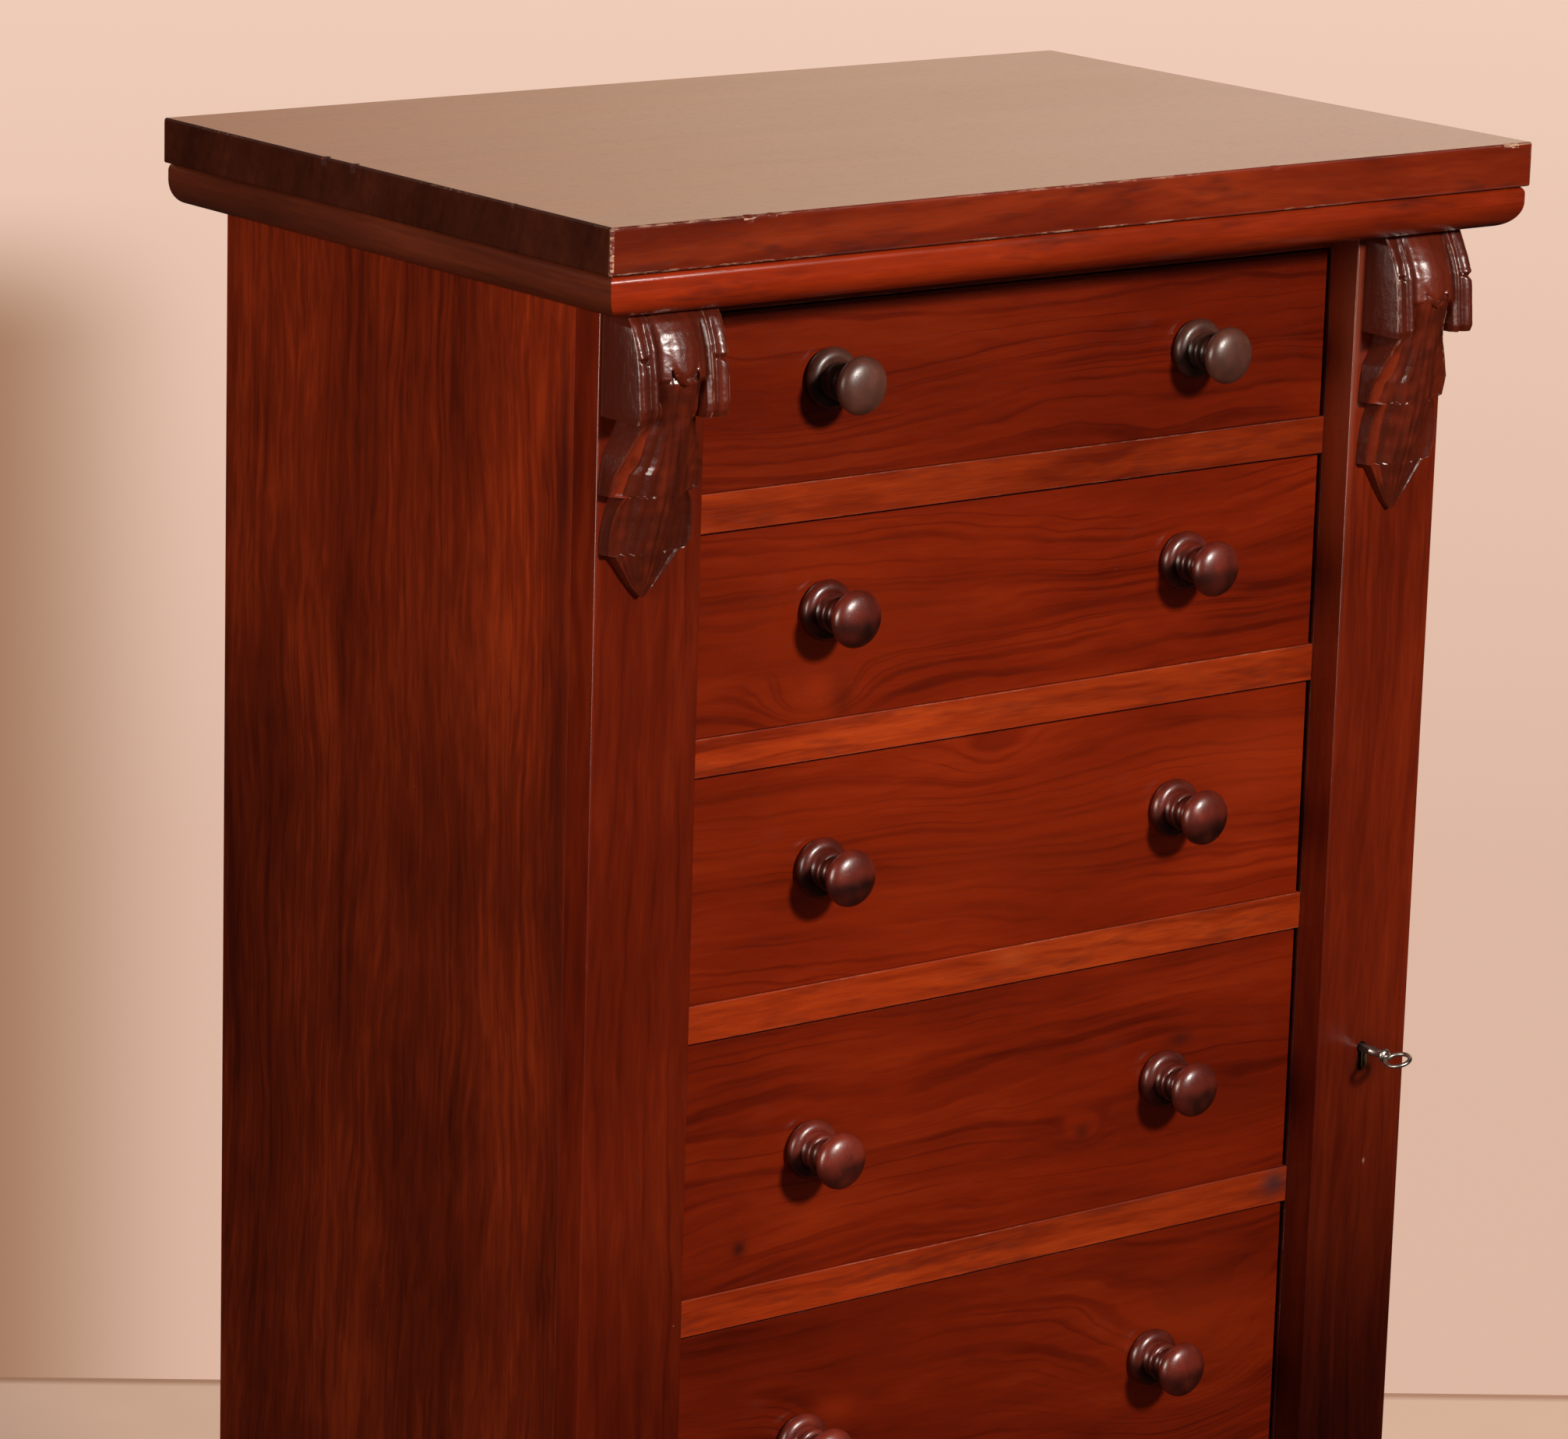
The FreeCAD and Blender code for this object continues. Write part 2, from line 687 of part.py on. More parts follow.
def make_hinges():
    """Butt hinges: outer knuckles on the carcase leaf, the middle knuckle on the flap leaf, one pin each."""
    carcase_leaves = []
    flap_leaves = []
    pins = []
    thick = s("leaf_thick")
    gap = s("knuckle_clearance")
    radius = s("knuckle_radius")
    inner = side_out - s("leaf_reach")
    for index, (low, high) in enumerate(hinge_ranges()):
        third = (high - low) / 3
        name = "hinge_" + str(index)
        bore = s("hinge_pin_radius") + s("pin_clearance")
        knuckles = [(low, low + third), (high - third, high)]
        parts = [box(name + "_side_leaf", (inner, side_out), (rail_front, rail_front + thick), (low, high))]
        for turn, (bottom, top) in enumerate(knuckles):
            tag = name + "_outer_" + str(turn)
            parts.append(box(tag + "_neck", (side_out, hinge_x), (rail_front, rail_front + thick),
                             (bottom, top)))
            parts.append(cylinder(tag, radius, top - bottom, hinge_x, rail_front, bottom))
        leaf = fuse(name + "_side_blank", parts)
        hole = cylinder(name + "_side_bore", bore, high - low + 2 * gap, hinge_x, rail_front, low - gap)
        carcase_leaves.append(cut(name + "_side", leaf, [hole]))

        middle = (low + third + gap, high - third - gap)
        parts = [
            box(name + "_flap_leaf", (inner, side_out), (rail_front - thick, rail_front), (low, high)),
            box(name + "_middle_neck", (side_out, hinge_x), (rail_front - thick, rail_front), middle),
            cylinder(name + "_middle", radius, middle[1] - middle[0], hinge_x, rail_front, middle[0]),
        ]
        leaf = fuse(name + "_flap_blank", parts)
        hole = cylinder(name + "_flap_bore", bore, high - low, hinge_x, rail_front, low)
        flap_leaves.append(cut(name + "_flap", leaf, [hole]))

        head = cylinder(name + "_pin_head", radius, gap * 2, hinge_x, rail_front, high)
        shaft = cylinder(name + "_pin_shaft", s("hinge_pin_radius"), high - low + gap, hinge_x,
                         rail_front, low)
        pins.append(fuse(name + "_pin", [shaft, head]))
    keep(gather("side_leaves", carcase_leaves), "hinge_leaves_carcase")
    keep(gather("flap_leaves", flap_leaves), "hinge_leaves_flap")
    keep(gather("pins", pins), "hinge_pins")


def make_lock():
    """A cut lock in the back of the flap, whose bolt slides through the eye of a staple on the stile."""
    wall = s("lock_wall")
    over = s("overrun")
    cap_front = rail_front - wall
    case = box("lock_case_block", lock_x, (lock_front, cap_front), lock_z)
    hollow = box("lock_hollow", (lock_x[0] + wall, lock_x[1] - wall), (lock_front + wall, cap_front + over),
                 (lock_z[0] + wall, lock_z[1] - wall))
    round_hole = cylinder("case_keyhole", s("keyhole_radius"), wall + over, key_x,
                          lock_front - over / 2, key_z, ALONG_Y)
    half_slot = s("keyhole_slot_width") / 2
    slot = box("case_keyhole_slot", (key_x - half_slot, key_x + half_slot),
               (lock_front - over, lock_front + wall + over), (key_z - s("keyhole_slot_drop"), key_z))
    shell = cut("lock_case_shell", case, [hollow, round_hole, slot])
    pin_radius = s("key_shaft_radius") / 2
    pin_front = rail_front - s("key_bit_long") - wall
    keep(shell, "lock_case")

    plate = box("lock_cap_plate", lock_x, (cap_front, rail_front), lock_z)
    side_room = s("staple_slot_clearance")
    end_room = s("staple_rim") + s("pin_clearance") * 2 + s("knuckle_clearance")
    mouth = box("lock_mouth", (staple_x[0] - side_room, staple_x[1] + side_room),
                (cap_front - over, rail_front + over), (bolt_z[0] - end_room, bolt_z[1] + end_room))
    mouthed = cut("lock_cap_mouthed", plate, [mouth])
    drill_pin = cylinder("drill_pin", pin_radius, cap_front - pin_front + wall / 2, key_x, pin_front,
                         key_z, ALONG_Y)
    keep(fuse("lock_cap_pinned", [mouthed, drill_pin]), "lock_cap")

    keep(box("bolt_bar", bolt_x, bolt_y, bolt_z), "lock_bolt")

    eye_gap = s("pin_clearance") * 2
    plate = box("staple_plate", staple_plate_x_range(), (rail_front, rail_front + s("staple_plate_thick")),
                staple_z_range())
    rim = s("staple_rim")
    loop = box("staple_loop", staple_x, (staple_front, rail_front),
               (bolt_z[0] - eye_gap - rim, bolt_z[1] + eye_gap + rim))
    eye = box("staple_eye", (staple_x[0] - over, staple_x[1] + over),
              (bolt_y[0] - eye_gap, bolt_y[1] + eye_gap), (bolt_z[0] - eye_gap, bolt_z[1] + eye_gap))
    keep(cut("staple_pierced", fuse("staple_body", [plate, loop]), [eye]), "lock_staple")


def make_key():
    """A steel key turned a quarter: its bow lies level and its bit points sideways inside the case."""
    bow_centre = pilaster_front - s("key_reach") + s("key_bow_radius")
    bow_low = key_z - s("key_bow_thick") / 2
    disc = cylinder("key_bow_disc", s("key_bow_radius"), s("key_bow_thick"), key_x, bow_centre, bow_low)
    hole = cylinder("key_bow_hole", s("key_bow_hole_radius"), s("key_bow_thick") + 2 * s("overrun"),
                    key_x, bow_centre, bow_low - s("overrun"))
    bow = cut("key_bow", disc, [hole])
    shaft_front = bow_centre + (s("key_bow_radius") + s("key_bow_hole_radius")) / 2
    shaft_back = rail_front - s("lock_wall") - s("pin_clearance") * 2
    shaft = cylinder("key_shaft", s("key_shaft_radius"), shaft_back - shaft_front, key_x, shaft_front,
                     key_z, ALONG_Y)
    collar_front = bow_centre + s("key_bow_radius")
    collar = cylinder("key_collar", s("key_collar_radius"), s("key_collar_thick"), key_x, collar_front,
                      key_z, ALONG_Y)
    bit = box("key_bit", (key_x, key_x + s("key_bit_reach")), (shaft_back - s("key_bit_long"), shaft_back),
              (key_z - s("key_bit_thick") / 2, key_z + s("key_bit_thick") / 2))
    body = fuse("key_body", [bow, shaft, collar, bit])
    pin_bore = cylinder("key_pin_bore", s("key_shaft_radius") / 2 + s("pin_clearance"),
                        s("key_bit_long") + s("lock_wall") * 2, key_x,
                        shaft_back - s("key_bit_long") - s("lock_wall"), key_z, ALONG_Y)
    keep(cut("key_drilled", body, [pin_bore]), "key")


# Drawers
def make_drawer(number):
    name = "drawer_" + str(number)
    over = s("overrun")
    low = opening_low[number] + s("slide_gap")
    high = opening_high[number] - s("front_top_gap")
    left = -open_left + s("front_left_gap")
    right = open_right - s("front_right_gap")
    groove = s("drawer_groove_deep")
    thick = s("lining_thick")
    side_left = (left, left + thick)
    side_right = (right - thick, right)
    panel = (low + s("drawer_bottom_rise"), low + s("drawer_bottom_rise") + s("drawer_bottom_thick"))
    lining_top = high - s("lining_top_drop")

    tails = {}
    span = (lining_top - panel[1]).value
    count = max(2, int(span // s("dovetail_pitch").value))
    pitch = (lining_top - panel[1]) / count
    for side, x_range in (("left", side_left), ("right", side_right)):
        tails[side] = []
        for index in range(count):
            middle = panel[1] + pitch * (index + 0.5)
            tail = doc.addObject("Part::Wedge", name + "_" + side + "_tail_" + str(index))
            wide = pitch * s("dovetail_wide") / s("dovetail_pitch") / 2
            narrow = pitch * s("dovetail_narrow") / s("dovetail_pitch") / 2
            bind(tail, {
                "Xmin": 0, "Xmax": thick, "X2min": 0, "X2max": thick,
                "Ymin": 0, "Ymax": s("dovetail_length"),
                "Zmin": -wide, "Zmax": wide, "Z2min": -narrow, "Z2max": narrow,
            })
            place(tail, x_range[0], front_back - s("dovetail_length"), middle)
            tails[side].append(tail)

    blank = box(name + "_front_blank", (left, right), (front_face, front_back), (low, high))
    middle_z = (low + high) / 2 + s("knob_rise_" + str(number))
    tools = list(tails["left"]) + list(tails["right"])
    tools.append(box(name + "_front_groove", (side_left[1] - groove, side_right[0] + groove),
                     (front_back - groove, front_back + over), panel))
    for side, sign in (("left", -1), ("right", 1)):
        tools.append(cylinder(name + "_" + side + "_spigot_hole", s("spigot_radius"),
                              s("spigot_length") + over, sign * s("knob_spacing") / 2,
                              front_face - over, middle_z, ALONG_Y))
    keep(cut(name + "_front_cut", blank, tools), name + "_front")

    linings = []
    for side, x_range in (("left", side_left), ("right", side_right)):
        board = box(name + "_" + side + "_board", x_range, (front_back, drawer_back), (low, lining_top))
        jointed = fuse(name + "_" + side + "_jointed", [board] + tails[side])
        if side == "left":
            grooved_x = (x_range[1] - groove, x_range[1] + over)
        else:
            grooved_x = (x_range[0] - over, x_range[0] + groove)
        slot = box(name + "_" + side + "_groove", grooved_x,
                   (front_back - s("dovetail_length") - over, drawer_back + over), panel)
        linings.append(cut(name + "_" + side + "_side", jointed, [slot]))
    linings.append(box(name + "_back_board", (side_left[1], side_right[0]),
                       (drawer_back - thick, drawer_back), (panel[1], lining_top)))
    keep(gather(name + "_lining_set", linings), name + "_linings")

    panel_x = (side_left[1] - groove, side_right[0] + groove)
    keep(box(name + "_panel", panel_x, (front_back - groove, drawer_back), panel), name + "_bottom")

    knobs = []
    for side, sign in (("left", -1), ("right", 1)):
        knobs.append(make_knob(name + "_" + side + "_knob", sign * s("knob_spacing") / 2, middle_z))
    keep(gather(name + "_knob_pair", knobs), name + "_knobs")


def make_knob(name, x, z):
    """A turned knob: a rosette with a collar, a waisted neck and a flattened ball, on a spigot."""
    spigot = cylinder(name + "_spigot", s("spigot_radius"), s("spigot_length") + s("rosette_thick"), x,
                      front_face - s("rosette_thick"), z, ALONG_Y)
    rosette = cone(name + "_rosette", s("rosette_radius"), s("rosette_collar_radius"), s("rosette_thick"),
                   x, front_face, z, TOWARDS_FRONT)
    collar = cone(name + "_collar", s("rosette_collar_radius"), s("knob_neck_radius"),
                  s("rosette_collar_thick"), x, front_face - s("rosette_thick"), z, TOWARDS_FRONT)
    neck_start = s("rosette_thick") + s("rosette_collar_thick")
    neck = cylinder(name + "_neck", s("knob_neck_radius"), s("knob_reach") - neck_start, x,
                    front_face - neck_start, z, TOWARDS_FRONT)
    head = doc.addObject("Part::Ellipsoid", name + "_head")
    wide = s("knob_head_radius")
    bind(head, {"Radius1": s("knob_head_half_thick"), "Radius2": wide, "Radius3": wide})
    place(head, x, front_face - s("knob_reach"), z, TOWARDS_FRONT)
    return fuse(name, [spigot, rosette, collar, neck, head])


# Plinth: a mitred frame with glue blocks, and a moulding where the carcase steps in
def make_plinth():
    thick = s("plinth_thick")
    z_range = (0, plinth_top)
    long = carcase_back - plinth_front
    keep(wedge("plinth_f", (-plinth_half, plinth_half), (-plinth_half + thick, plinth_half - thick), thick,
               z_range, z_range, 0, plinth_front), "plinth_front")
    keep(wedge("plinth_l", (0, long), (thick, long - thick), thick, z_range, z_range,
               -plinth_half, carcase_back, QUARTER_LEFT), "plinth_left")
    keep(wedge("plinth_r", (0, long), (thick, long - thick), thick, z_range, z_range,
               plinth_half, plinth_front, QUARTER_RIGHT), "plinth_right")
    back = wedge("plinth_b", (-plinth_half + thick, plinth_half - thick), (-plinth_half, plinth_half), thick,
                 z_range, z_range, 0, carcase_back - thick)

    z_range = (plinth_top, base_moulding_top)
    block = box("base_block", (-plinth_half, plinth_half), (plinth_front, carcase_back), z_range)

    def upper(b):
        back = near(b.YMin, carcase_back.value)
        top = base_moulding_top.value
        return near(b.ZMin, top) and near(b.ZMax, top) and not back

    rounded = soften("base_round", block, upper, s("base_moulding_round"))
    hollow = box("base_hollow", (-side_out, side_out), (rail_front, carcase_back + s("overrun")),
                 (plinth_top - s("overrun"), base_moulding_top + s("overrun")))
    keep(cut("base_ring", rounded, [hollow]), "plinth_moulding")

    blocks = [back]
    size = s("glue_block")
    top = plinth_top
    for side, sign in (("l", -1), ("r", 1)):
        x_range = mirrored(plinth_half - thick - size, plinth_half - thick, sign)
        inner_front = plinth_front + thick
        inner_back = carcase_back - thick
        z_block = (top - s("glue_block_high"), top)
        blocks.append(box("glue_front_" + side, x_range, (inner_front, inner_front + size), z_block))
        blocks.append(box("glue_back_" + side, x_range, (inner_back - size, inner_back), z_block))
    keep(gather("plinth_rear", blocks), "plinth_back_and_blocks")


def build():
    make_top()
    make_side("side_l", "side_left", -1)
    make_side("side_r", "side_right", 1)
    make_housed_board("carcase_lid", "carcase_top", (moulding_low, slab_low))
    make_housed_board("carcase_floor", "carcase_bottom", (plinth_top, bottom_top))
    make_back_boards()
    make_front_frame()
    make_runners()
    make_pilaster()
    make_corbel("corbel_left", left_corbel_x, moulding_low, s("corbel_high"), s("corbel_proud"))
    make_flap()
    make_corbel("corbel_right", key_x, flap_z[1], s("flap_corbel_high"), s("flap_corbel_proud"))
    make_hinges()
    make_lock()
    make_key()
    for number in range(1, DRAWERS + 1):
        make_drawer(number)
    make_plinth()


def check_objects():
    """Stops before anything is written if an object failed or a sub-part has no sound shape."""
    for obj in doc.Objects:
        if "Invalid" in obj.State or "Error" in obj.State:
            raise RuntimeError("failed object: " + obj.Name)
    for obj in nodes:
        if obj.Shape.isNull() or not obj.Shape.isValid():
            raise RuntimeError("unsound shape: " + obj.Label)


def write_parts():
    os.makedirs("parts", exist_ok=True)
    for obj in nodes:
        obj.Shape.exportStep("parts/" + obj.Label + ".step")


build()
doc.recompute()
check_objects()
write_parts()
print(len(nodes), "sub-parts written")
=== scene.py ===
import json
import math

import bmesh
import bpy
import numpy as np
from mathutils import Matrix, Vector, noise


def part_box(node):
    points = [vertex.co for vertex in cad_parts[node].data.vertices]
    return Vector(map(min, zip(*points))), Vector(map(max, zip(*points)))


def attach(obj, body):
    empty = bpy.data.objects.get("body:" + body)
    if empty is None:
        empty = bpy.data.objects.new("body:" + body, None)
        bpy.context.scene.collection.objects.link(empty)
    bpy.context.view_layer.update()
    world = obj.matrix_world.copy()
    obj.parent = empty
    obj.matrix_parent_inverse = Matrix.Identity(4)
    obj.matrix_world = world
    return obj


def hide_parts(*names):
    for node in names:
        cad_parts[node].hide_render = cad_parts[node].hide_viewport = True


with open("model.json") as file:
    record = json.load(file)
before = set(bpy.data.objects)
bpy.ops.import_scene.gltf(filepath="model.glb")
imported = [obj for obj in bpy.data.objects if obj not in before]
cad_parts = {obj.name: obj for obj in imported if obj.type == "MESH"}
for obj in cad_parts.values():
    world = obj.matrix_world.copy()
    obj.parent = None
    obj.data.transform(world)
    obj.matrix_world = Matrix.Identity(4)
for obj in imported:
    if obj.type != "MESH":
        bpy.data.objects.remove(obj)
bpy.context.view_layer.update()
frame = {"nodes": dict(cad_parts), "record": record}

# Looks of the wellington chest. Everything is in metres in the row frame, like the solids it dresses.
MM = 0.001
NODES = frame["nodes"]
RECORD = frame["record"]
NODE_BODY = {node: body for body, members in RECORD["behaviour"]["bodies"].items() for node in members}


def held(value):
    """The value, held between 0 and 1."""
    return min(1.0, max(0.0, value))


def pairs(*numbers):
    """Every two numbers as one pair."""
    return list(zip(numbers[::2], numbers[1::2]))


# Nodes of materials
class Tree:
    """A short way to add and join the nodes of one node tree."""

    def __init__(self, tree):
        self.tree = tree
        tree.nodes.clear()

    def add(self, kind, inputs=None, **settings):
        node = self.tree.nodes.new("ShaderNode" + kind)
        for name, value in settings.items():
            setattr(node, name, value)
        for key, value in (inputs or {}).items():
            if isinstance(value, bpy.types.NodeSocket):
                self.tree.links.new(value, node.inputs[key])
            else:
                node.inputs[key].default_value = value
        return node

    def place(self):
        return self.add("TexCoord").outputs["Object"]

    def math(self, operation, a, b=0.0, clamp=False):
        return self.add("Math", {0: a, 1: b}, operation=operation, use_clamp=clamp).outputs[0]

    def plus(self, a, b, clamp=False):
        return self.math("ADD", a, b, clamp)

    def less(self, a, b, clamp=False):
        return self.math("SUBTRACT", a, b, clamp)

    def times(self, a, b, clamp=False):
        return self.math("MULTIPLY", a, b, clamp)

    def swing(self, noisy, amount):
        """A noise carried from 0..1 to half the amount on either side of nought."""
        return self.times(self.less(noisy, 0.5), amount)

    def vector(self, operation, a, b):
        return self.add("VectorMath", {0: a, 1: b}, operation=operation).outputs[0]

    def dot(self, a, b):
        return self.add("VectorMath", {0: a, 1: b}, operation="DOT_PRODUCT").outputs["Value"]

    def scaled(self, vector, by):
        return self.add("VectorMath", {0: vector, "Scale": by}, operation="SCALE").outputs[0]

    def parts(self, vector):
        return self.add("SeparateXYZ", {0: vector}).outputs

    def noise(self, vector, detail=2.0, roughness=0.5, dimensions="3D", output="Fac"):
        key = "W" if dimensions == "1D" else "Vector"
        return self.add("TexNoise", {key: vector, "Scale": 1.0, "Detail": detail, "Roughness": roughness},
                        noise_dimensions=dimensions).outputs[output]

    def band(self, value, low, high, out_low=0.0, out_high=1.0, kind="LINEAR"):
        """Value carried from low..high to out_low..out_high, and held there."""
        return self.add("MapRange", {0: value, 1: low, 2: high, 3: out_low, 4: out_high},
                        interpolation_type=kind).outputs[0]

    def hill(self, place, centre, spread):
        """A soft hill of height 1 about a centre, with its own spread along each axis, in millimetres."""
        away = self.vector("SUBTRACT", place, tuple(c * MM for c in centre))
        away = self.vector("MULTIPLY", away, tuple(1000.0 / s for s in spread))
        return self.math("EXPONENT", self.times(self.dot(away, away), -1.0))

    def mix(self, factor, a, b):
        """Colour b laid over colour a. A colour is a socket or three numbers."""
        a, b = (c if isinstance(c, bpy.types.NodeSocket) else (*c, 1.0) for c in (a, b))
        return self.add("Mix", {0: factor, 6: a, 7: b}, data_type="RGBA").outputs[2]

    def ramp(self, value, stops):
        node = self.add("ValToRGB", {0: value})
        elements = node.color_ramp.elements
        while len(elements) < len(stops):
            elements.new(0.5)
        for element, (place, colour) in zip(elements, stops):
            element.position = place
            element.color = (*colour, 1.0)
        return node.outputs[0]


def material(name):
    made = bpy.data.materials.new(name)
    made.use_nodes = True
    return made, Tree(made.node_tree)


def finish_surface(tree, colour, rough, relief, depth, **fixed):
    """Joins colour, gloss and relief to one surface shader. Uniform numbers sit on its own sockets."""
    bump = tree.add("Bump", {"Height": relief, "Distance": depth, "Strength": 0.5})
    inputs = {"Base Color": colour, "Roughness": rough, "Normal": bump.outputs[0]}
    shader = tree.add("BsdfPrincipled", inputs)
    for name, value in fixed.items():
        shader.inputs[name.replace("_", " ").replace("Ior", "IOR")].default_value = value
    tree.add("OutputMaterial", {0: shader.outputs[0]})


PALE_WEAR = (0.42, 0.25, 0.17)


def wood(name, dark, middle, light, figure, gloss=0.24, wear=0.4, pores=0.25, specular=0.3, coat=0.0,
         grime=0.0, specks=0.0, lift=0.0, carved=0.0, relief_depth=0.00006, hills=(), spots=(), fades=(),
         worn_at=()):
    """A procedural wood that follows each board's own grain, from the attribute `grain` in metres.

    hills bend the growth rings, spots lay a colour over a place, as stains and as painted light, fades
    scale the colour along an axis, some as painted light and shade, and at worn_at the arrises are rubbed
    through to the pale wood. With lift, a face's tone moves its place in the figure.
    """
    zones, clouds, streaks, flecks, fibre, lines, line_rate, wave = figure
    made, t = material(name)
    grain = t.add("Attribute", attribute_name="grain").outputs["Vector"]
    arris, tone = (t.add("Attribute", attribute_name=label).outputs["Fac"] for label in ("arris", "tone"))
    place = t.place()

    def stretched(vector, along, across):
        return t.vector("MULTIPLY", vector, (along, across, across))

    bent = grain
    for along, across, detail, reach in ((2.4, 6.5, 1.5, 0.060 * wave), (15.0, 42.0, 2.0, 0.011 * wave)):
        bend = t.noise(stretched(grain, along, across), detail, output="Color")
        bend = t.vector("SUBTRACT", bend, (0.5, 0.5, 0.5))
        bent = t.vector("ADD", bent, t.vector("MULTIPLY", bend, (0.0, reach, reach)))
    parts = t.parts(bent)
    ring = t.plus(parts[1], t.times(parts[2], 0.4))
    for centre, spread, height in hills:
        ring = t.plus(ring, t.times(t.hill(place, centre, spread), height * MM))

    growth = t.noise(t.times(ring, line_rate), 1.5, 0.5, "1D")
    line = t.band(t.math("ABSOLUTE", t.less(growth, 0.5)), 0.0, 0.075, 1.0, 0.0)
    line = t.times(line, t.band(t.noise(stretched(grain, 9.0, 34.0)), 0.36, 0.58))
    zone = t.noise(t.plus(t.times(ring, 0.42 * line_rate), 31.0), 1.0, 0.5, "1D")
    cloud = t.noise(stretched(bent, 4.5, 10.0), 2.5, 0.55)
    streak = t.noise(stretched(bent, 8.0, 100.0), 2.5, 0.55)
    fleck = t.noise(stretched(bent, 24.0, 230.0), 2.0, 0.6)
    thread = t.noise(stretched(grain, 45.0, 1000.0), 1.5)
    pore = t.band(t.noise(stretched(grain, 110.0, 1700.0), 1.0), 0.62, 0.74)

    value = 0.5
    for part, amount in ((zone, 1.6 * zones), (cloud, 1.7 * clouds), (streak, 1.4 * streaks),
                         (fleck, flecks), (thread, fibre)):
        value = t.plus(value, t.swing(part, amount))
    if lift:
        value = t.plus(value, t.times(t.less(tone, 1.0), lift))
    value = t.less(value, t.times(line, lines), True)
    colour = t.ramp(value, [(0.0, dark), (0.5, middle), (1.0, light)])
    colour = t.mix(t.times(pore, pores), colour, tuple(0.4 * c for c in dark))
    if not lift:
        colour = t.scaled(colour, tone)
    axes = t.parts(place)
    for axis, first, low, last, high in fades:
        colour = t.scaled(colour, t.band(axes[axis], first * MM, last * MM, low, high, "SMOOTHSTEP"))
    for centre, spread, spot_colour, strength in spots:
        colour = t.mix(t.times(t.hill(place, centre, spread), strength), colour, spot_colour)
    if grime:
        spot = t.band(t.noise(stretched(grain, 14.0, 80.0), 3.0, 0.7), 0.54, 0.72)
        colour = t.mix(t.times(spot, grime), colour, tuple(0.55 * c + 0.004 for c in dark))
    if specks:
        cells = t.add("TexVoronoi", {"Vector": t.scaled(grain, 62.0), "Scale": 1.0}).outputs
        chosen = t.math("GREATER_THAN", t.parts(cells["Color"])[0], 0.82)
        dot = t.times(t.band(cells["Distance"], 0.014, 0.026, specks, 0.0), chosen)
        colour = t.mix(dot, colour, PALE_WEAR)
    places = t.band(t.noise(t.scaled(grain, 9.0)), 0.50, 0.62, 0.03, 1.0)
    for centre, spread, strength in worn_at:
        places = t.plus(places, t.times(t.hill(place, centre, spread), strength))
    rubbed = t.band(t.noise(stretched(grain, 90.0, 500.0), 3.0, 0.7), 0.48, 0.60)
    rubbed = t.times(t.times(rubbed, arris), t.times(places, wear), True)
    colour = t.mix(rubbed, colour, PALE_WEAR)
    rough = t.plus(gloss, t.swing(cloud, 0.12))
    rough = t.plus(rough, t.times(pore, 0.15))
    matt = rubbed if lift else t.plus(rubbed, t.times(arris, 1.8))
    rough = t.plus(rough, t.times(matt, 0.25), True)
    relief = t.less(t.times(thread, 0.2), t.times(pore, 0.8))
    relief = t.less(relief, t.times(line, 0.3))
    if carved:
        relief = t.plus(relief, t.times(t.noise(t.scaled(place, 210.0), 2.0, 0.55), carved))
    finish_surface(t, colour, rough, relief, relief_depth, Specular_Ior_Level=specular, Coat_Weight=coat,
                   Coat_Roughness=0.2)
    return made


def metal(name, base, tarnish, rough, amount):
    made, t = material(name)
    place = t.place()
    cloud = t.noise(t.vector("MULTIPLY", place, (90.0, 90.0, 90.0)), 4.0, 0.6)
    scratch = t.noise(t.vector("MULTIPLY", place, (400.0, 400.0, 60.0)))
    spot = t.times(t.band(cloud, 0.42, 0.68), amount)
    gloss = t.plus(rough, t.times(spot, 0.3))
    gloss = t.plus(gloss, t.swing(scratch, 0.2), True)
    finish_surface(t, t.mix(spot, base, tarnish), gloss, t.plus(scratch, cloud), 0.0001, Metallic=1.0)
    return made


# Figure of the drawer fronts: hills in the growth rings, then stains, at places in millimetres
FRONT_HILLS = [((x, -140, z), (wide, 40, tall), rise) for x, z, wide, tall, rise in (
    (65.7, 706.2, 15, 9, 22), (65.7, 706.2, 60, 26, 10), (-123.7, 968, 34, 20, 26), (96, 1032, 95, 30, 20),
    (-3.7, 920.2, 46, 17, 16), (-99, 582.3, 30, 17, 20), (150, 560, 80, 60, 46), (-40, 850, 70, 24, -12),
    (-150, 1120, 90, 26, 14), (60, 1110, 110, 22, -10), (-60, 740, 110, 26, 15), (-20, 400, 120, 40, 26),
    (60, 190, 130, 50, -30), (182, 1000, 60, 22, 10))]
FRONT_SPOTS = [((x, -140, z), (wide, 30, tall), spot_colour, strength) for x, z, wide, tall, spot_colour, strength in (
    (65.7, 706.2, 5, 4, (0.05, 0.006, 0.003), 0.75), (-162.7, 682.8, 4.4, 4.4, (0.02, 0.004, 0.003), 0.8),
    (132.4, 747.8, 9, 4, (0.03, 0.005, 0.003), 0.7), (-123.7, 972.7, 17, 11, (0.23, 0.02, 0.003), 0.7),
    (-106, 966, 7, 12, (0.045, 0.0048, 0.0014), 0.55), (182, 900, 60, 26, (0.225, 0.021, 0.0034), 0.5),
    (0, 870, 120, 40, (0.19, 0.016, 0.0024), 0.4), (-120, 1010, 90, 40, (0.2, 0.017, 0.0024), 0.4),
    (-160, 905, 70, 30, (0.19, 0.016, 0.002), 0.35), (140, 585, 50, 22, (0.22, 0.02, 0.003), 0.45),
    (-99, 582.3, 16, 7, (0.21, 0.018, 0.003), 0.45))]
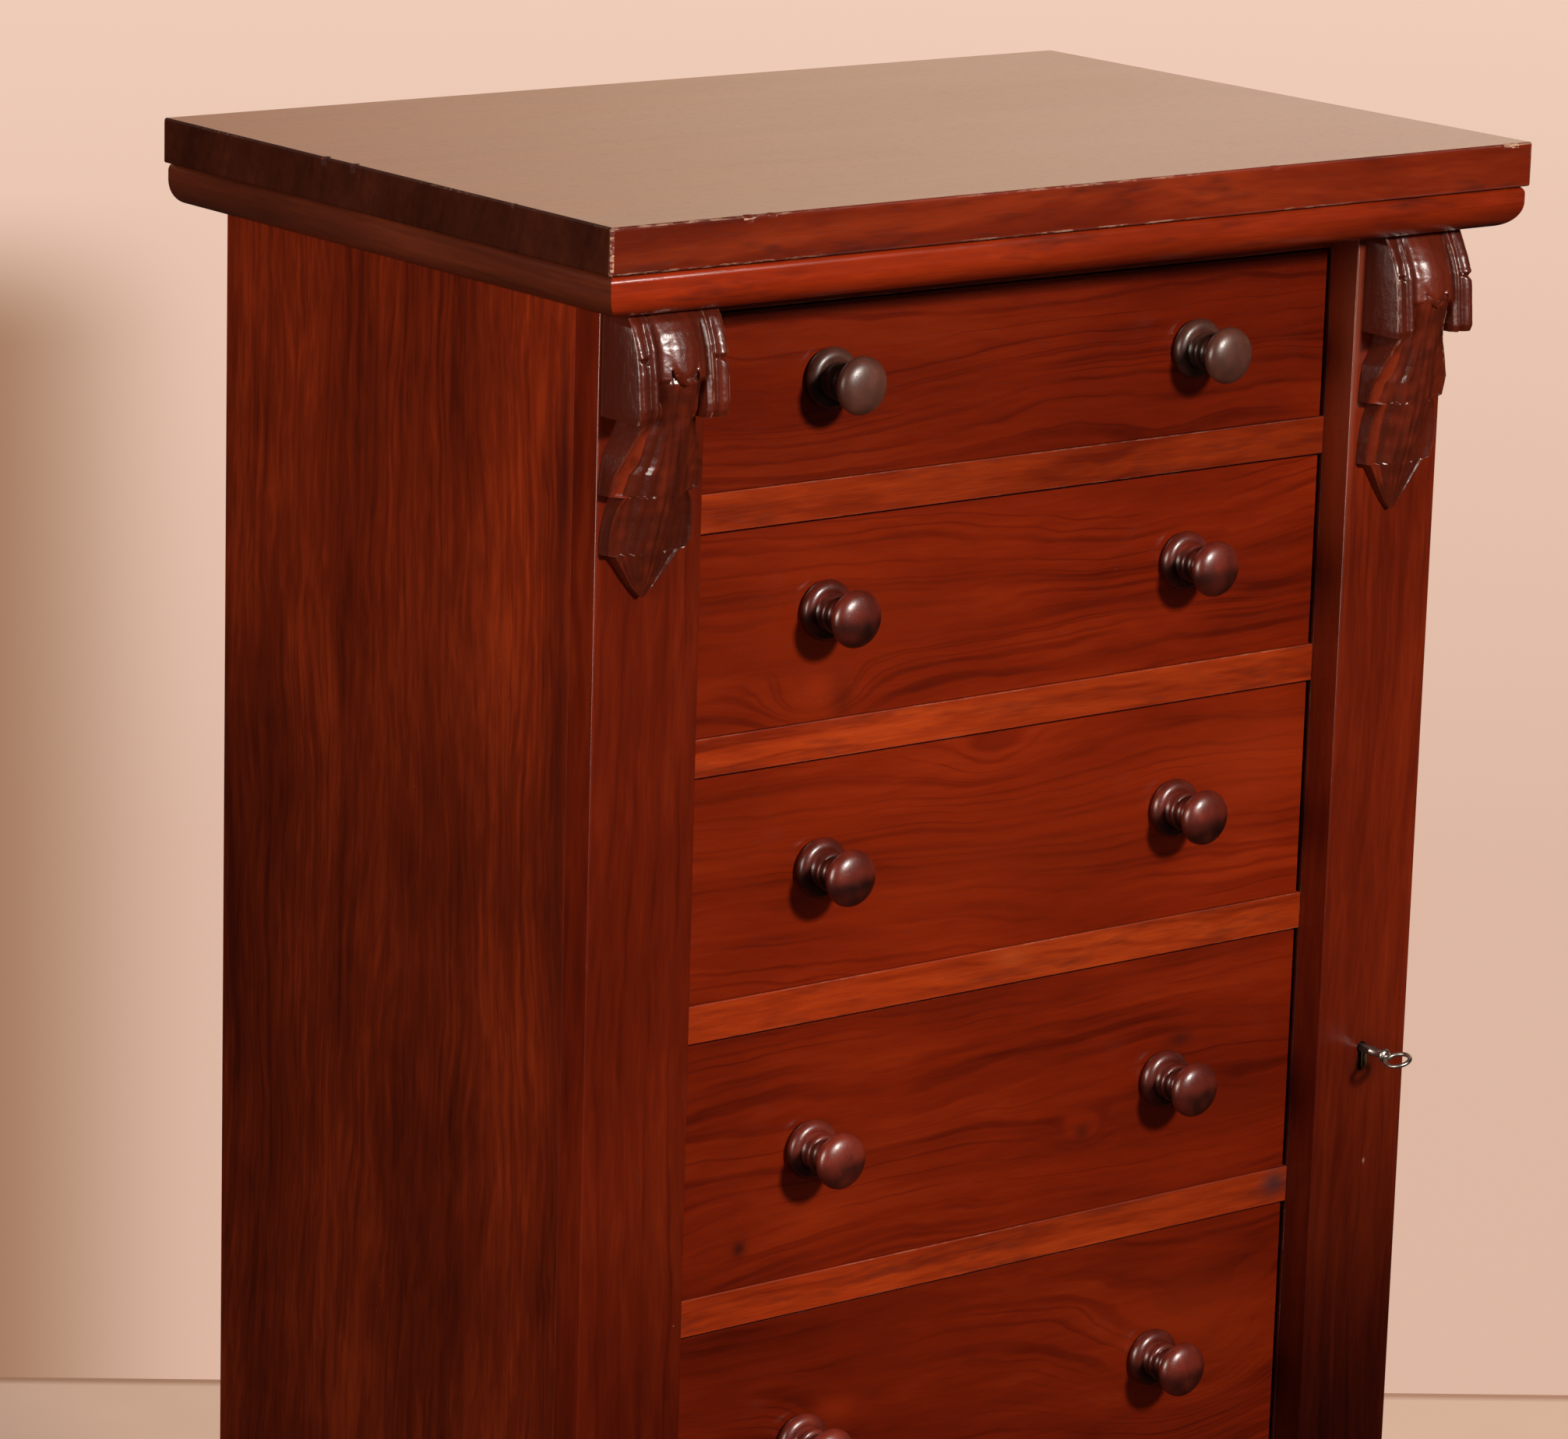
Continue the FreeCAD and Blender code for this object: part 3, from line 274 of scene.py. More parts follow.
# A wood's three colours, then its figure: zones, clouds, streaks, flecks, fibre, lines, line rate and wave
# The drawer fronts' fade darkens them above 1161.5 mm, which only the top drawer reaches: painted shadow
# under the moulding.
FRONT = wood("front_mahogany", (0.062, 0.004, 0.0008), (0.137, 0.0094, 0.0012), (0.225, 0.02, 0.0026),
             (0.26, 0.68, 0.24, 0.38, 0.14, 0.32, 85, 1), gloss=0.23, wear=0.2, specks=0.7,
             hills=FRONT_HILLS, spots=FRONT_SPOTS, fades=[(2, 1161.5, 1, 1167, 0.6)])
RAIL = wood("rail_mahogany", (0.11, 0.008, 0.0012), (0.215, 0.0205, 0.0026), (0.32, 0.038, 0.005),
            (0.3, 0.55, 0.5, 0.8, 0.45, 0.3, 110, 0.5), gloss=0.26, wear=0.25, grime=0.6, specks=0.8,
            fades=[(0, -210, 1.25, 60, 0.95)],
            spots=[((204.5, -141, 654), (9, 30, 7), (0.02, 0.014, 0.016), 0.8),
                   ((10.8, -141, 812), (12, 30, 5), (0.3, 0.05, 0.01), 0.5)])
MOULD = wood("moulding_mahogany", (0.09, 0.0062, 0.0012), (0.185, 0.015, 0.0022), (0.29, 0.03, 0.0044),
             (0.35, 0.7, 0.35, 0.6, 0.2, 0.25, 85, 0.6), gloss=0.28, wear=0.2, grime=0.7, specks=0.6,
             fades=[(0, -300, 1.45, 60, 1)])
SLAB_EDGE = wood("slab_edge_mahogany", (0.066, 0.005, 0.0012), (0.133, 0.012, 0.0025), (0.23, 0.026, 0.0052),
                 (0.35, 0.9, 0.35, 0.5, 0.2, 0.3, 85, 0.7), gloss=0.25, wear=0.55, grime=0.7, specks=0.8,
                 fades=[(0, -300, 0.76, -60, 1)],
                 worn_at=[((-300, -199, 1218), (10, 10, 16), 1.6), ((287, -199, 1229), (16, 8, 5), 1.2)])
EDGE_SIDE = wood("edge_side_mahogany", (0.022, 0.004, 0.0016), (0.042, 0.0074, 0.0028),
                 (0.075, 0.013, 0.0044), (0.3, 0.8, 0.3, 0.5, 0.2, 0.2, 85, 0.6), gloss=0.33, wear=0.2,
                 specks=0.2)
# The side's fades make it brighter towards its front and its top, as painted light, and darker low down and
# towards the back.
SIDE = wood("side_mahogany", (0.034, 0.003, 0.0007), (0.073, 0.0067, 0.0011), (0.14, 0.0146, 0.0022),
            (0.22, 0.9, 0.3, 0.9, 0.25, 0.22, 75, 1.1), gloss=0.29, wear=0.08, specks=0.2,
            fades=[(1, -145, 1.46, -40, 1), (1, 60, 1, 165, 0.9), (2, 420, 0.78, 780, 1),
                   (2, 860, 1, 1130, 1.62)],
            spots=[((-278, -113.5, 1128), (20, 5, 24), (0.24, 0.024, 0.0036), 0.6),
                   ((-278, -134, 1100), (20, 4.5, 60), (0.035, 0.004, 0.002), 0.7),
                   ((-278, -134, 930), (20, 5, 90), (0.04, 0.0044, 0.002), 0.5),
                   ((-278, 30, 1103), (20, 7, 30), (0.05, 0.005, 0.0016), 0.5)])
# Its fade darkens the wood towards the bottom: painted shade.
POST = wood("pilaster_mahogany", (0.046, 0.0034, 0.0008), (0.092, 0.0072, 0.0012), (0.16, 0.015, 0.0022),
            (0.3, 0.7, 0.4, 0.6, 0.25, 0.28, 75, 0.7), wear=0.14, specks=0.5, fades=[(2, 480, 0.72, 900, 1)],
            worn_at=[((-278, -161, 1168), (12, 30, 26), 0.6), ((-278, -161, 850), (12, 30, 100), 0.3)])
# The flap's fades darken it towards the bottom, most at about 480 mm up, and darken its left side face:
# painted shade. Its first spot lightens the top of that side face: painted light.
FLAP = wood("flap_mahogany", (0.042, 0.0032, 0.0009), (0.094, 0.0076, 0.0015), (0.155, 0.014, 0.0024),
            (0.3, 0.8, 0.5, 0.7, 0.3, 0.25, 75, 0.6), wear=0.15, specks=0.5,
            fades=[(2, 480, 0.2, 860, 1), (2, 280, 3, 510, 1), (0, 214.05, 0.8, 214.9, 1)],
            spots=[((214, -150, 1080), (4, 16, 110), (0.2, 0.026, 0.006), 0.35),
                   ((215.6, -161, 1130), (2.2, 10, 70), (0.23, 0.08, 0.048), 0.3),
                   ((250, -161, 722), (12, 10, 13), (0.026, 0.004, 0.002), 0.65),
                   ((252, -161, 664), (0.7, 10, 1.2), (0.3, 0.15, 0.11), 0.8)],
            worn_at=[((214, -161, 700), (12, 30, 90), 0.3), ((214, -161, 1120), (12, 30, 60), 0.35)])
TOP = wood("top_mahogany", (0.075, 0.012, 0.004), (0.12, 0.021, 0.007), (0.175, 0.036, 0.011),
           (0.4, 0.6, 0.4, 0.4, 0.15, 0.3, 85, 0.6), gloss=0.18, specular=0.8, coat=0.4, pores=0.15,
           wear=0.6, specks=0.6, relief_depth=0.00002,
           spots=[((-253, 63, 1230), (13, 0.7, 20), (0.26, 0.13, 0.09), 0.5),
                  ((-244, 6, 1230), (11, 0.6, 20), (0.26, 0.13, 0.09), 0.5),
                  ((-258, 153, 1230), (4, 2, 20), (0.03, 0.007, 0.004), 0.6)])
CARVED = wood("carved_mahogany", (0.024, 0.0034, 0.0014), (0.056, 0.0066, 0.0022), (0.15, 0.016, 0.0038),
              (0.15, 0.55, 0.2, 0.3, 0.05, 0.1, 85, 0.5), gloss=0.28, specular=0.52, pores=0.1, wear=0.5,
              lift=0.7, specks=0.4, carved=8)
TURNED = wood("turned_mahogany", (0.032, 0.0046, 0.0026), (0.082, 0.0092, 0.0044), (0.17, 0.02, 0.009),
              (0.2, 0.8, 0.3, 0.3, 0.08, 0.1, 85, 0.5), gloss=0.31, specular=0.6, coat=0.05, pores=0.1,
              specks=0.3, carved=2)
TURNED_GREY = wood("turned_mahogany_rubbed", (0.045, 0.014, 0.009), (0.088, 0.0275, 0.017),
                   (0.15, 0.05, 0.031), (0.2, 0.7, 0.2, 0.3, 0.08, 0.1, 85, 0.5), gloss=0.36, specular=0.6,
                   pores=0.1, specks=0.5, carved=2.4)
LINING = wood("drawer_lining_wood", (0.19, 0.1, 0.045), (0.33, 0.195, 0.098), (0.45, 0.29, 0.16),
              (0.4, 0.4, 0.5, 0.4, 0.3, 0.3, 80, 0.4), gloss=0.6, wear=0.1, specular=0.2, grime=0.2,
              relief_depth=0.0001)
PINE = wood("carcase_wood", (0.13, 0.062, 0.027), (0.24, 0.13, 0.06), (0.34, 0.205, 0.105),
            (0.4, 0.5, 0.5, 0.4, 0.3, 0.45, 70, 0.6), gloss=0.7, wear=0.1, specular=0.15, grime=0.4,
            relief_depth=0.0001)
BRASS = metal("aged_brass", (0.62, 0.38, 0.13), (0.16, 0.085, 0.035), 0.34, 0.7)
STEEL = metal("worn_steel", (0.46, 0.43, 0.4), (0.13, 0.085, 0.06), 0.3, 0.6)
IRON_AND_SLOT_SHADE = metal("dark_iron_and_slot_shade", (0.1, 0.075, 0.06), (0.05, 0.03, 0.02), 0.55, 0.8)


# Boards: copies of the wooden solids with eased arrises
class Pile:
    """Corners, faces and their marks, gathered until one mesh is made of them."""

    def __init__(self):
        self.corners, self.faces, self.grain = [], [], []
        self.arris, self.tone, self.paint, self.smooth = [], [], [], []

    def take(self, bm, grain_of=tuple, marks_of=None):
        """Adds a mesh and frees it. marks_of gives a face's wear, tone and number of paint."""
        start = len(self.corners)
        bm.verts.index_update()
        for v in bm.verts:
            self.corners.append(v.co[:])
            self.grain.append(grain_of(v.co))
        for f in bm.faces:
            self.faces.append([start + v.index for v in f.verts])
            on_axis = max(abs(c) for c in f.normal) > 0.99999
            arris, tone, paint = marks_of(f) if marks_of else (0.0, 1.0, 0)
            self.arris.append(arris)
            self.tone.append(tone)
            self.paint.append(paint)
            self.smooth.append(not on_axis)
        bm.free()

    def take_closed(self, bm, grain_of=tuple, marks_of=None):
        """Adds a closed mesh, its faces turned outward."""
        bmesh.ops.recalc_face_normals(bm, faces=bm.faces)
        bm.normal_update()
        self.take(bm, grain_of, marks_of)

    def piece(self, name, paints, node, body=None):
        """Makes the piece, in a node's place, or else with a body of its own."""
        mesh = bpy.data.meshes.new(name)
        mesh.from_pydata(self.corners, [], self.faces)
        mesh.attributes.new("grain", "FLOAT_VECTOR", "POINT").data.foreach_set(
            "vector", np.array(self.grain, np.float32).ravel())
        for label, values in (("arris", self.arris), ("tone", self.tone)):
            attribute = mesh.attributes.new(label, "FLOAT", "FACE")
            attribute.data.foreach_set("value", np.array(values, np.float32))
        mesh.polygons.foreach_set("use_smooth", self.smooth)
        mesh.polygons.foreach_set("material_index", self.paint)
        mesh.update()
        sharpen(mesh)
        for paint in paints:
            mesh.materials.append(paint)
        obj = bpy.data.objects.new(name, mesh)
        bpy.context.scene.collection.objects.link(obj)
        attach(obj, body or NODE_BODY[node])
        if node:
            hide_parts(node)


def sharpen(mesh):
    """Marks the folds between smooth faces that are too sharp to be shaded as one."""
    bm = bmesh.new()
    bm.from_mesh(mesh)
    limit = math.radians(48.0)
    for e in bm.edges:
        if len(e.link_faces) == 2 and e.calc_face_angle(0.0) > limit:
            e.smooth = False
    bm.to_mesh(mesh)
    bm.free()


def joined(bm, first, second):
    """Faces between two closed rings with the same number of corners."""
    for k in range(len(first)):
        j = (k + 1) % len(first)
        bm.faces.new([first[k], first[j], second[j], second[k]])


def solids_of(mesh):
    """The points of a CAD mesh, and its separate solids, each as triangles of welded points' numbers."""
    count = len(mesh.vertices)
    points = np.empty(count * 3, np.float64)
    mesh.vertices.foreach_get("co", points)
    points = points.reshape(-1, 3)
    keys, weld = {}, np.empty(count, int)
    for i, p in enumerate(np.round(points / 4e-6).astype(np.int64)):
        weld[i] = keys.setdefault(tuple(p), i)
    mesh.calc_loop_triangles()
    triangles = np.empty(len(mesh.loop_triangles) * 3, int)
    mesh.loop_triangles.foreach_get("vertices", triangles)
    triangles = weld[triangles.reshape(-1, 3)]
    edges = {}
    for n, (a, b, c) in enumerate(triangles):
        for e in ((a, b), (b, c), (c, a)):
            edges.setdefault((min(e), max(e)), []).append(n)
    parent = list(range(len(triangles)))

    def root(n):
        while parent[n] != n:
            parent[n] = parent[parent[n]]
            n = parent[n]
        return n

    for sharing in edges.values():
        if len(sharing) == 2:
            parent[root(sharing[0])] = root(sharing[1])
    groups = {}
    for n, t in enumerate(triangles):
        if len(set(t)) == 3:
            groups.setdefault(root(n), []).append(tuple(t))
    return points, [groups[key] for key in sorted(groups)]


def grain_frame(low, high, seed, along=None):
    """A function from a point to a place in a board's grain: along, across, through, moved by the seed."""
    size = [high[i] - low[i] for i in range(3)]
    order = sorted(range(3), key=lambda i: -size[i])
    if along is not None:
        order = [along] + [i for i in order if i != along]
    shift = (3.7 * (seed % 13), 1.9 * (seed % 7) + 0.6 * seed, 2.3 * (seed % 5) + 0.31 * seed)

    def grain(p):
        return tuple(p[i] + shift[n] for n, i in enumerate(order))

    return grain


def worked(node, paint, ease, seed=1, along=None, tone=1.0, facing=None):
    """A copy of a wooden node whose arrises are eased, each of its boards with its own run of grain.

    facing is the wood that its front edge is faced with, if any."""
    points, groups = solids_of(NODES[node].data)
    pile = Pile()
    for index, triangles in enumerate(groups):
        bm = bmesh.new()
        used = {}
        for t in triangles:
            for v in t:
                if v not in used:
                    used[v] = bm.verts.new(points[v])
            corners = [used[v] for v in t]
            if bm.faces.get(corners) is None:
                bm.faces.new(corners)
        bmesh.ops.dissolve_limit(bm, angle_limit=math.radians(0.6), verts=bm.verts, edges=bm.edges)
        bmesh.ops.recalc_face_normals(bm, faces=bm.faces)
        low = [min(v.co[i] for v in bm.verts) for i in range(3)]
        high = [max(v.co[i] for v in bm.verts) for i in range(3)]
        fold = math.radians(38)
        folds = [e for e in bm.edges if len(e.link_faces) == 2 and e.calc_face_angle(0.0) > fold]
        made = []
        if folds:
            made = bmesh.ops.bevel(bm, geom=folds, offset=ease, offset_type="OFFSET", segments=2,
                                   profile=0.5, affect="EDGES", clamp_overlap=True)["faces"]
        bm.normal_update()
        eased = {f for f in made if f.is_valid}
        shade = tone(low, high) if callable(tone) else tone
        pile.take(bm, grain_frame(low, high, seed + 3 * index, along),
                  lambda f: (1.0 if f in eased else 0.0, shade, 1 if facing and f.normal.y < -0.9 else 0))
    pile.piece(node + "_worked", [paint, facing] if facing else [paint], node)


# Tones of the rails by height and of the drawer fronts from the top: darker at the top and towards the
# bottom, painted shade from the top's overhang and from the light falling off down the front.
RAIL_TONES = ((1076, 0.84), (950, 1.02), (811, 1.0), (655, 0.98), (480, 0.85), (290, 0.85))
DRAWER_TONES = (0.82, 0.98, 1.06, 0.94, 0.80, 0.85, 0.85)


def rail_tone(low, high):
    middle = 500 * (low[2] + high[2])
    return min(RAIL_TONES, key=lambda pair: abs(pair[0] - middle))[1]


worked("top_moulding_front", MOULD, 0.0006, 4, 0)
worked("top_moulding_left", EDGE_SIDE, 0.0003, 5, 1, 1.75)
worked("top_moulding_right", SIDE, 0.0006, 6, 1, 0.8)
worked("side_left", SIDE, 0.0002, 8, 2)
worked("side_right", SIDE, 0.0008, 9, 2)
worked("pilaster_left", POST, 0.0003, 10, 2)
worked("locking_flap", FLAP, 0.0003, 12, 2)
worked("stile_left", POST, 0.0005, 13, 2)
# The right stile, seen only through the gap by the flap, is at half tone: painted shade in the gap.
worked("stile_right", POST, 0.0005, 14, 2, 0.5)
worked("drawer_rails", RAIL, 0.0005, 15, 0, rail_tone)
worked("plinth_front", FRONT, 0.0010, 21, 0, 0.8)
worked("plinth_left", SIDE, 0.0010, 22, 1)
worked("plinth_right", SIDE, 0.0010, 23, 1)
worked("plinth_moulding", MOULD, 0.0006, 24, 0, 0.8)
worked("carcase_top", PINE, 0.0006, 30, facing=RAIL)
worked("carcase_bottom", PINE, 0.0006, 31, facing=RAIL)
worked("back_boards", PINE, 0.0006, 32, 2)
for number, node in enumerate(("drawer_runners", "drawer_guides", "drawer_stops", "plinth_back_and_blocks")):
    worked(node, PINE, 0.0006, 33 + number)
for number, shade in enumerate(DRAWER_TONES, 1):
    drawer = "drawer_" + str(number)
    worked(drawer + "_front", FRONT, 0.0006, 40 + 5 * number, 0, shade)
    worked(drawer + "_linings", LINING, 0.0004, 41 + 7 * number)
    worked(drawer + "_bottom", LINING, 0.0004, 43 + 3 * number, 0)


# Edge of the top board: how far each point stands in from the edge, then how far down, in millimetres
SLAB_THICK = 23.5
SLAB_EDGE_LINE = pairs(1.5, 0, 0.8, 0.1, 0.3, 0.4, 0.05, 1, 0, 2.2, 0, 4.2, 0, 7, 0, 11, 0, 16, 0, 20,
                       0, 22.2, 0.1, 22.8, 0.5, 23.3, 1.2, SLAB_THICK)
# Chips: side of the board, place along it, half its width, how far in and how far down it goes
SLAB_CHIPS = [("left", 46.9, 2.6, 2.6, 4.0), ("left", 20.7, 2.4, 2.4, 4.4), ("front", -219, 3.0, 1.6, 2.6),
              ("front", -205, 2.4, 1.2, 2.2), ("front", 284, 5.5, 1.5, 2.0), ("left", -118, 2.0, 0.8, 1.6),
              ("front", 118, 2.5, 0.9, 1.6)]
SLAB_ROUND = 1.8
SLAB_STEP = 6


def slab_stations(low, high):
    """Places round the board: point, inward direction, side, place along it, and whether at a corner."""
    x0, y0, x1, y1 = (c / MM for c in (low.x, low.y, high.x, high.y))
    corners = [(x0, y0), (x1, y0), (x1, y1), (x0, y1)]
    stations = []
    for number, side in enumerate(("front", "right", "back", "left")):
        start, end = np.array(corners[number]), np.array(corners[(number + 1) % 4])
        length = float(np.linalg.norm(end - start))
        along = (end - start) / length
        inward = np.array((-along[1], along[0]))
        axis = number % 2
        last = length - SLAB_ROUND
        places = set(np.linspace(SLAB_ROUND, last, int(length / SLAB_STEP)).round(3))
        for name, where, half, deep, drop in SLAB_CHIPS:
            if name == side:
                chip = abs(where - start[axis]) + np.linspace(-half, half, 11)
                places |= set(np.clip(chip, SLAB_ROUND, last).round(3))
        for place in sorted(places):
            point = start + along * place
            stations.append((point, inward, side, float(point[axis]), False))
        centre = end - along * SLAB_ROUND + inward * SLAB_ROUND
        for step in (1, 2, 3):
            turn = math.radians(22.5 * step)
            out = -inward * math.cos(turn) + along * math.sin(turn)
            stations.append((centre + out * SLAB_ROUND, -out, "corner", 0.0, True))
    return stations


def slab():
    """The top board as one swept edge, uneven by hand wear, with its chips and rubbed corners."""
    low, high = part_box("top_board")
    stations = slab_stations(low, high)
    bm = bmesh.new()
    rings, chipped = [], []
    for number, (point, inward, side, place, corner) in enumerate(stations):
        ring, marks = [], []
        for inset, down in SLAB_EDGE_LINE:
            seed = Vector((point[0] * 0.05, point[1] * 0.05, 4.0 if down < 12 else 9.0))
            edge = max(0.0, 1 - min(down, SLAB_THICK - down) / 2.2)
            move = inset + edge * 0.35 * max(0.0, noise.noise(seed) + 0.35 * noise.noise(seed * 6.0))
            cut = 0.0
            for name, where, half, deep, drop in SLAB_CHIPS:
                if name == side and abs(place - where) < half and down < drop:
                    share = 1 - ((place - where) / half) ** 2
                    cut = max(cut, deep * share ** 0.6 * (1 - down / drop))
            if corner and down > 19 and number > len(stations) - 5:
                cut = max(cut, 1.1 * (down - 19) / 4)
            marks.append(cut)
            x, y = point + inward * (move + cut)
            ring.append(bm.verts.new((x * MM, y * MM, high.z - down * MM)))
        rings.append(ring)
        chipped.append(marks)
    marked = {}
    for a, station in enumerate(stations):
        b = (a + 1) % len(stations)
        side = station[2]
        corner = station[4] or stations[b][4]
        shade = {"left": 0.9, "right": 0.75, "back": 0.75}.get(side, 1.0)
        for k in range(len(SLAB_EDGE_LINE) - 1):
            face = bm.faces.new([rings[a][k], rings[b][k], rings[b][k + 1], rings[a][k + 1]])
            worn = 1.0 if corner or k < 3 or (k > 9 and side != "left") else 0.0
            if max(chipped[a][k], chipped[b][k]) > 0.25:
                worn = 3.0
            marked[face] = (worn, shade, 2 if side == "left" else 1)
    marked[bm.faces.new([ring[0] for ring in rings])] = (0.0, 1.0, 0)
    marked[bm.faces.new([ring[-1] for ring in reversed(rings)])] = (0.0, 0.6, 1)
    pile = Pile()
    pile.take_closed(bm, grain_frame(low, high, 2, 0), lambda f: marked[f])
    pile.piece("top_board_worked", [TOP, SLAB_EDGE, EDGE_SIDE], "top_board")


slab()


# Turned and carved pieces
def smooth_curve(points, steps):
    """Places along a smooth curve through the given pairs."""
    points = np.array(points, float)
    ends = np.vstack([2 * points[0] - points[1], points, 2 * points[-1] - points[-2]])
    out = []
    for i in range(len(points) - 1):
        p0, p1, p2, p3 = ends[i:i + 4]
        for s in range(steps):
            t = s / steps
            out.append(0.5 * (2 * p1 + (p2 - p0) * t + (2 * p0 - 5 * p1 + 4 * p2 - p3) * t * t
                              + (3 * p1 - p0 - 3 * p2 + p3) * t ** 3))
    out.append(points[-1])
    return out


def lathe(pile, profile, centre, segments, seed, sign=-1.0):
    """Turns a profile of (radius, distance) about a line through centre. Distance runs along sign * Y."""
    bm = bmesh.new()
    rings = []
    for radius, distance in profile:
        ring = []
        for k in range(segments if radius > 1e-7 else 1):
            turn = 2 * math.pi * k / segments
            ring.append(bm.verts.new((centre[0] + radius * math.cos(turn), centre[1] + sign * distance,
                                      centre[2] + radius * math.sin(turn))))
        rings.append(ring)
    for a, b in zip(rings, rings[1:]):
        for k in range(segments):
            j = (k + 1) % segments
            quad = [a[k % len(a)], a[j % len(a)], b[j % len(b)], b[k % len(b)]]
            corners = list(dict.fromkeys(quad))
            if len(corners) > 2:
                bm.faces.new(corners)
    pile.take_closed(bm, grain_frame((0, 0, 0), (3, 2, 1), seed, 1))


# A knob's outline in millimetres: radius, then distance out from the drawer front
ROSETTE = pairs(13.8, 0, 14.9, 0.9, 15.6, 2.2, 15.8, 3.6, 15.4, 5, 14.4, 6.3, 12.9, 7.2, 11.2, 7.5, 10, 7.2)
COLLAR = pairs(10, 7.2, 9.3, 8.2, 9, 9.4, 9.3, 10.5, 10, 11.2, 10.3, 12.1, 10, 13.1, 9.1, 13.8, 8.2, 14.1)
NECK = pairs(8.2, 14.1, 7.5, 15, 7.3, 16, 7.7, 16.9, 8.4, 17.6, 8.5, 18.4, 8, 19.2, 7.2, 19.8, 6.9, 20.8,
             7.2, 21.9)
BALL = pairs(7.2, 21.9, 8.8, 22.3, 11.4, 22.9, 13.4, 24.1, 14.6, 25.8, 14.9, 27.2, 14.5, 28.9, 13.2, 30.6,
             11, 32, 8, 33, 4.2, 33.6, 0, 33.7)
BALL_BEGINS = 0.021
KNOB_RADIUS = 0.0155
KNOB_SIDES = 56
# Its spigot, let into the drawer front, in metres
SPIGOT = pairs(0.0, -0.015, 0.0046, -0.015, 0.0050, -0.0146, 0.0050, 0.001, 0.0, 0.001)
# How far the left and the right knob were set off their places, across and up, in millimetres
KNOB_SHIFTS = {1: ((-1.6, 3.8), (0.3, -2.7)), 2: ((-0.4, 0.9), (-2.0, 0.0)), 3: ((1.3, 1.4), (-1.7, 0.5)),
               4: ((0.7, 0.5), (-0.1, -1.3))}
UNMOVED = ((0.0, 0.0), (0.0, 0.0))


def knob_profile(wobble):
    whole = smooth_curve(ROSETTE, 3)[:-1] + smooth_curve(COLLAR, 3)[:-1] + smooth_curve(NECK, 3)[:-1]
    whole = whole + smooth_curve(BALL, 4)
    return [((r + wobble * math.sin(0.5 * d)) * MM if r > 0.05 else 0.0, d * MM) for r, d in whole]


def knob_tone(aside, out, up, number):
    """Painted light and shade on a knob, at a place across, out and up from its middle: lighter above,
    darker below and to the right, and darker still on the rosette and neck behind the ball as painted
    shadow, with random patches.
    """
    share = held((up + 0.22) / 0.50)
    share = share * share * (3 - 2 * share)
    patch = 0.36 * noise.noise(Vector((2.2 * aside, 2.2 * up, 3.7 * number)))
    if number < 2:
        low, painted_light = (0.80, 0.22) if out > BALL_BEGINS else (0.35, 0.45)
        return low + painted_light * share + patch
    low = 0.38 if out > BALL_BEGINS else 0.18
    return max(0.15, low + 0.82 * share - 0.25 * max(0.0, aside) + patch)


def knobs(number):
    node = "drawer_" + str(number) + "_knobs"
    low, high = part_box(node)
    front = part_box("drawer_" + str(number) + "_front")[0].y
    middle = (low.z + high.z) / 2
    reach = (high.z - low.z) / 2
    pile = Pile()
    for side, x in enumerate((low.x + reach, high.x - reach)):
        seed = 60 + 4 * number + side
        across, up = KNOB_SHIFTS.get(number, UNMOVED)[side]
        x += across * MM
        z = middle + up * MM
        first = len(pile.faces)
        wobble = 0.12 * noise.noise(Vector((seed * 0.7, 0.3, 0.1)))
        lathe(pile, knob_profile(wobble), (x, front, z), KNOB_SIDES, seed)
        for face in range(first, len(pile.faces)):
            across, out, up = np.mean([pile.corners[c] for c in pile.faces[face]], axis=0)
            pile.tone[face] = knob_tone((across - x) / KNOB_RADIUS, front - out, (up - z) / KNOB_RADIUS,
                                        number + 0.3 * side)
        lathe(pile, SPIGOT, (x, front, z), 24, seed + 1)
    pile.piece(node + "_turned", [TURNED_GREY if number == 1 else TURNED], node)


for number in range(1, 8):
    knobs(number)

# The corbel in millimetres: v runs down from its top, u across from its middle, d out from the pilaster
ROLL_ACROSS = pairs(0, 1.5, 4, 1.2, 8, 0.4, 11, -0.7, 12.6, -1.5, 13.7, -2.6, 14.6, -3.4, 15.3, -2.4,
                    16.2, -0.9, 17, -0.5, 18.2, -1, 19.4, -2.2, 20.4, -1.9, 21.4, -0.8, 23, -0.1, 25, 0,
                    26.3, -0.5, 27, -1.4)
ROLL_STEPS = [(0, 11, 12), (11, 14.6, 6), (14.6, 17, 5), (17, 20.4, 5), (20.4, 24.5, 5), (24.5, 27, 5)]
LEAF_COUNTS = (10, 8, 4, 8, 8)
# Where along a half row the leaf's valley, its ridge and its foot begin
VALLEY, RIDGE, FOOT = sum(LEAF_COUNTS[:3]), sum(LEAF_COUNTS[:4]), sum(LEAF_COUNTS)
FLUTES = (sum(LEAF_COUNTS[:2]), sum(LEAF_COUNTS[:2]) + 1)
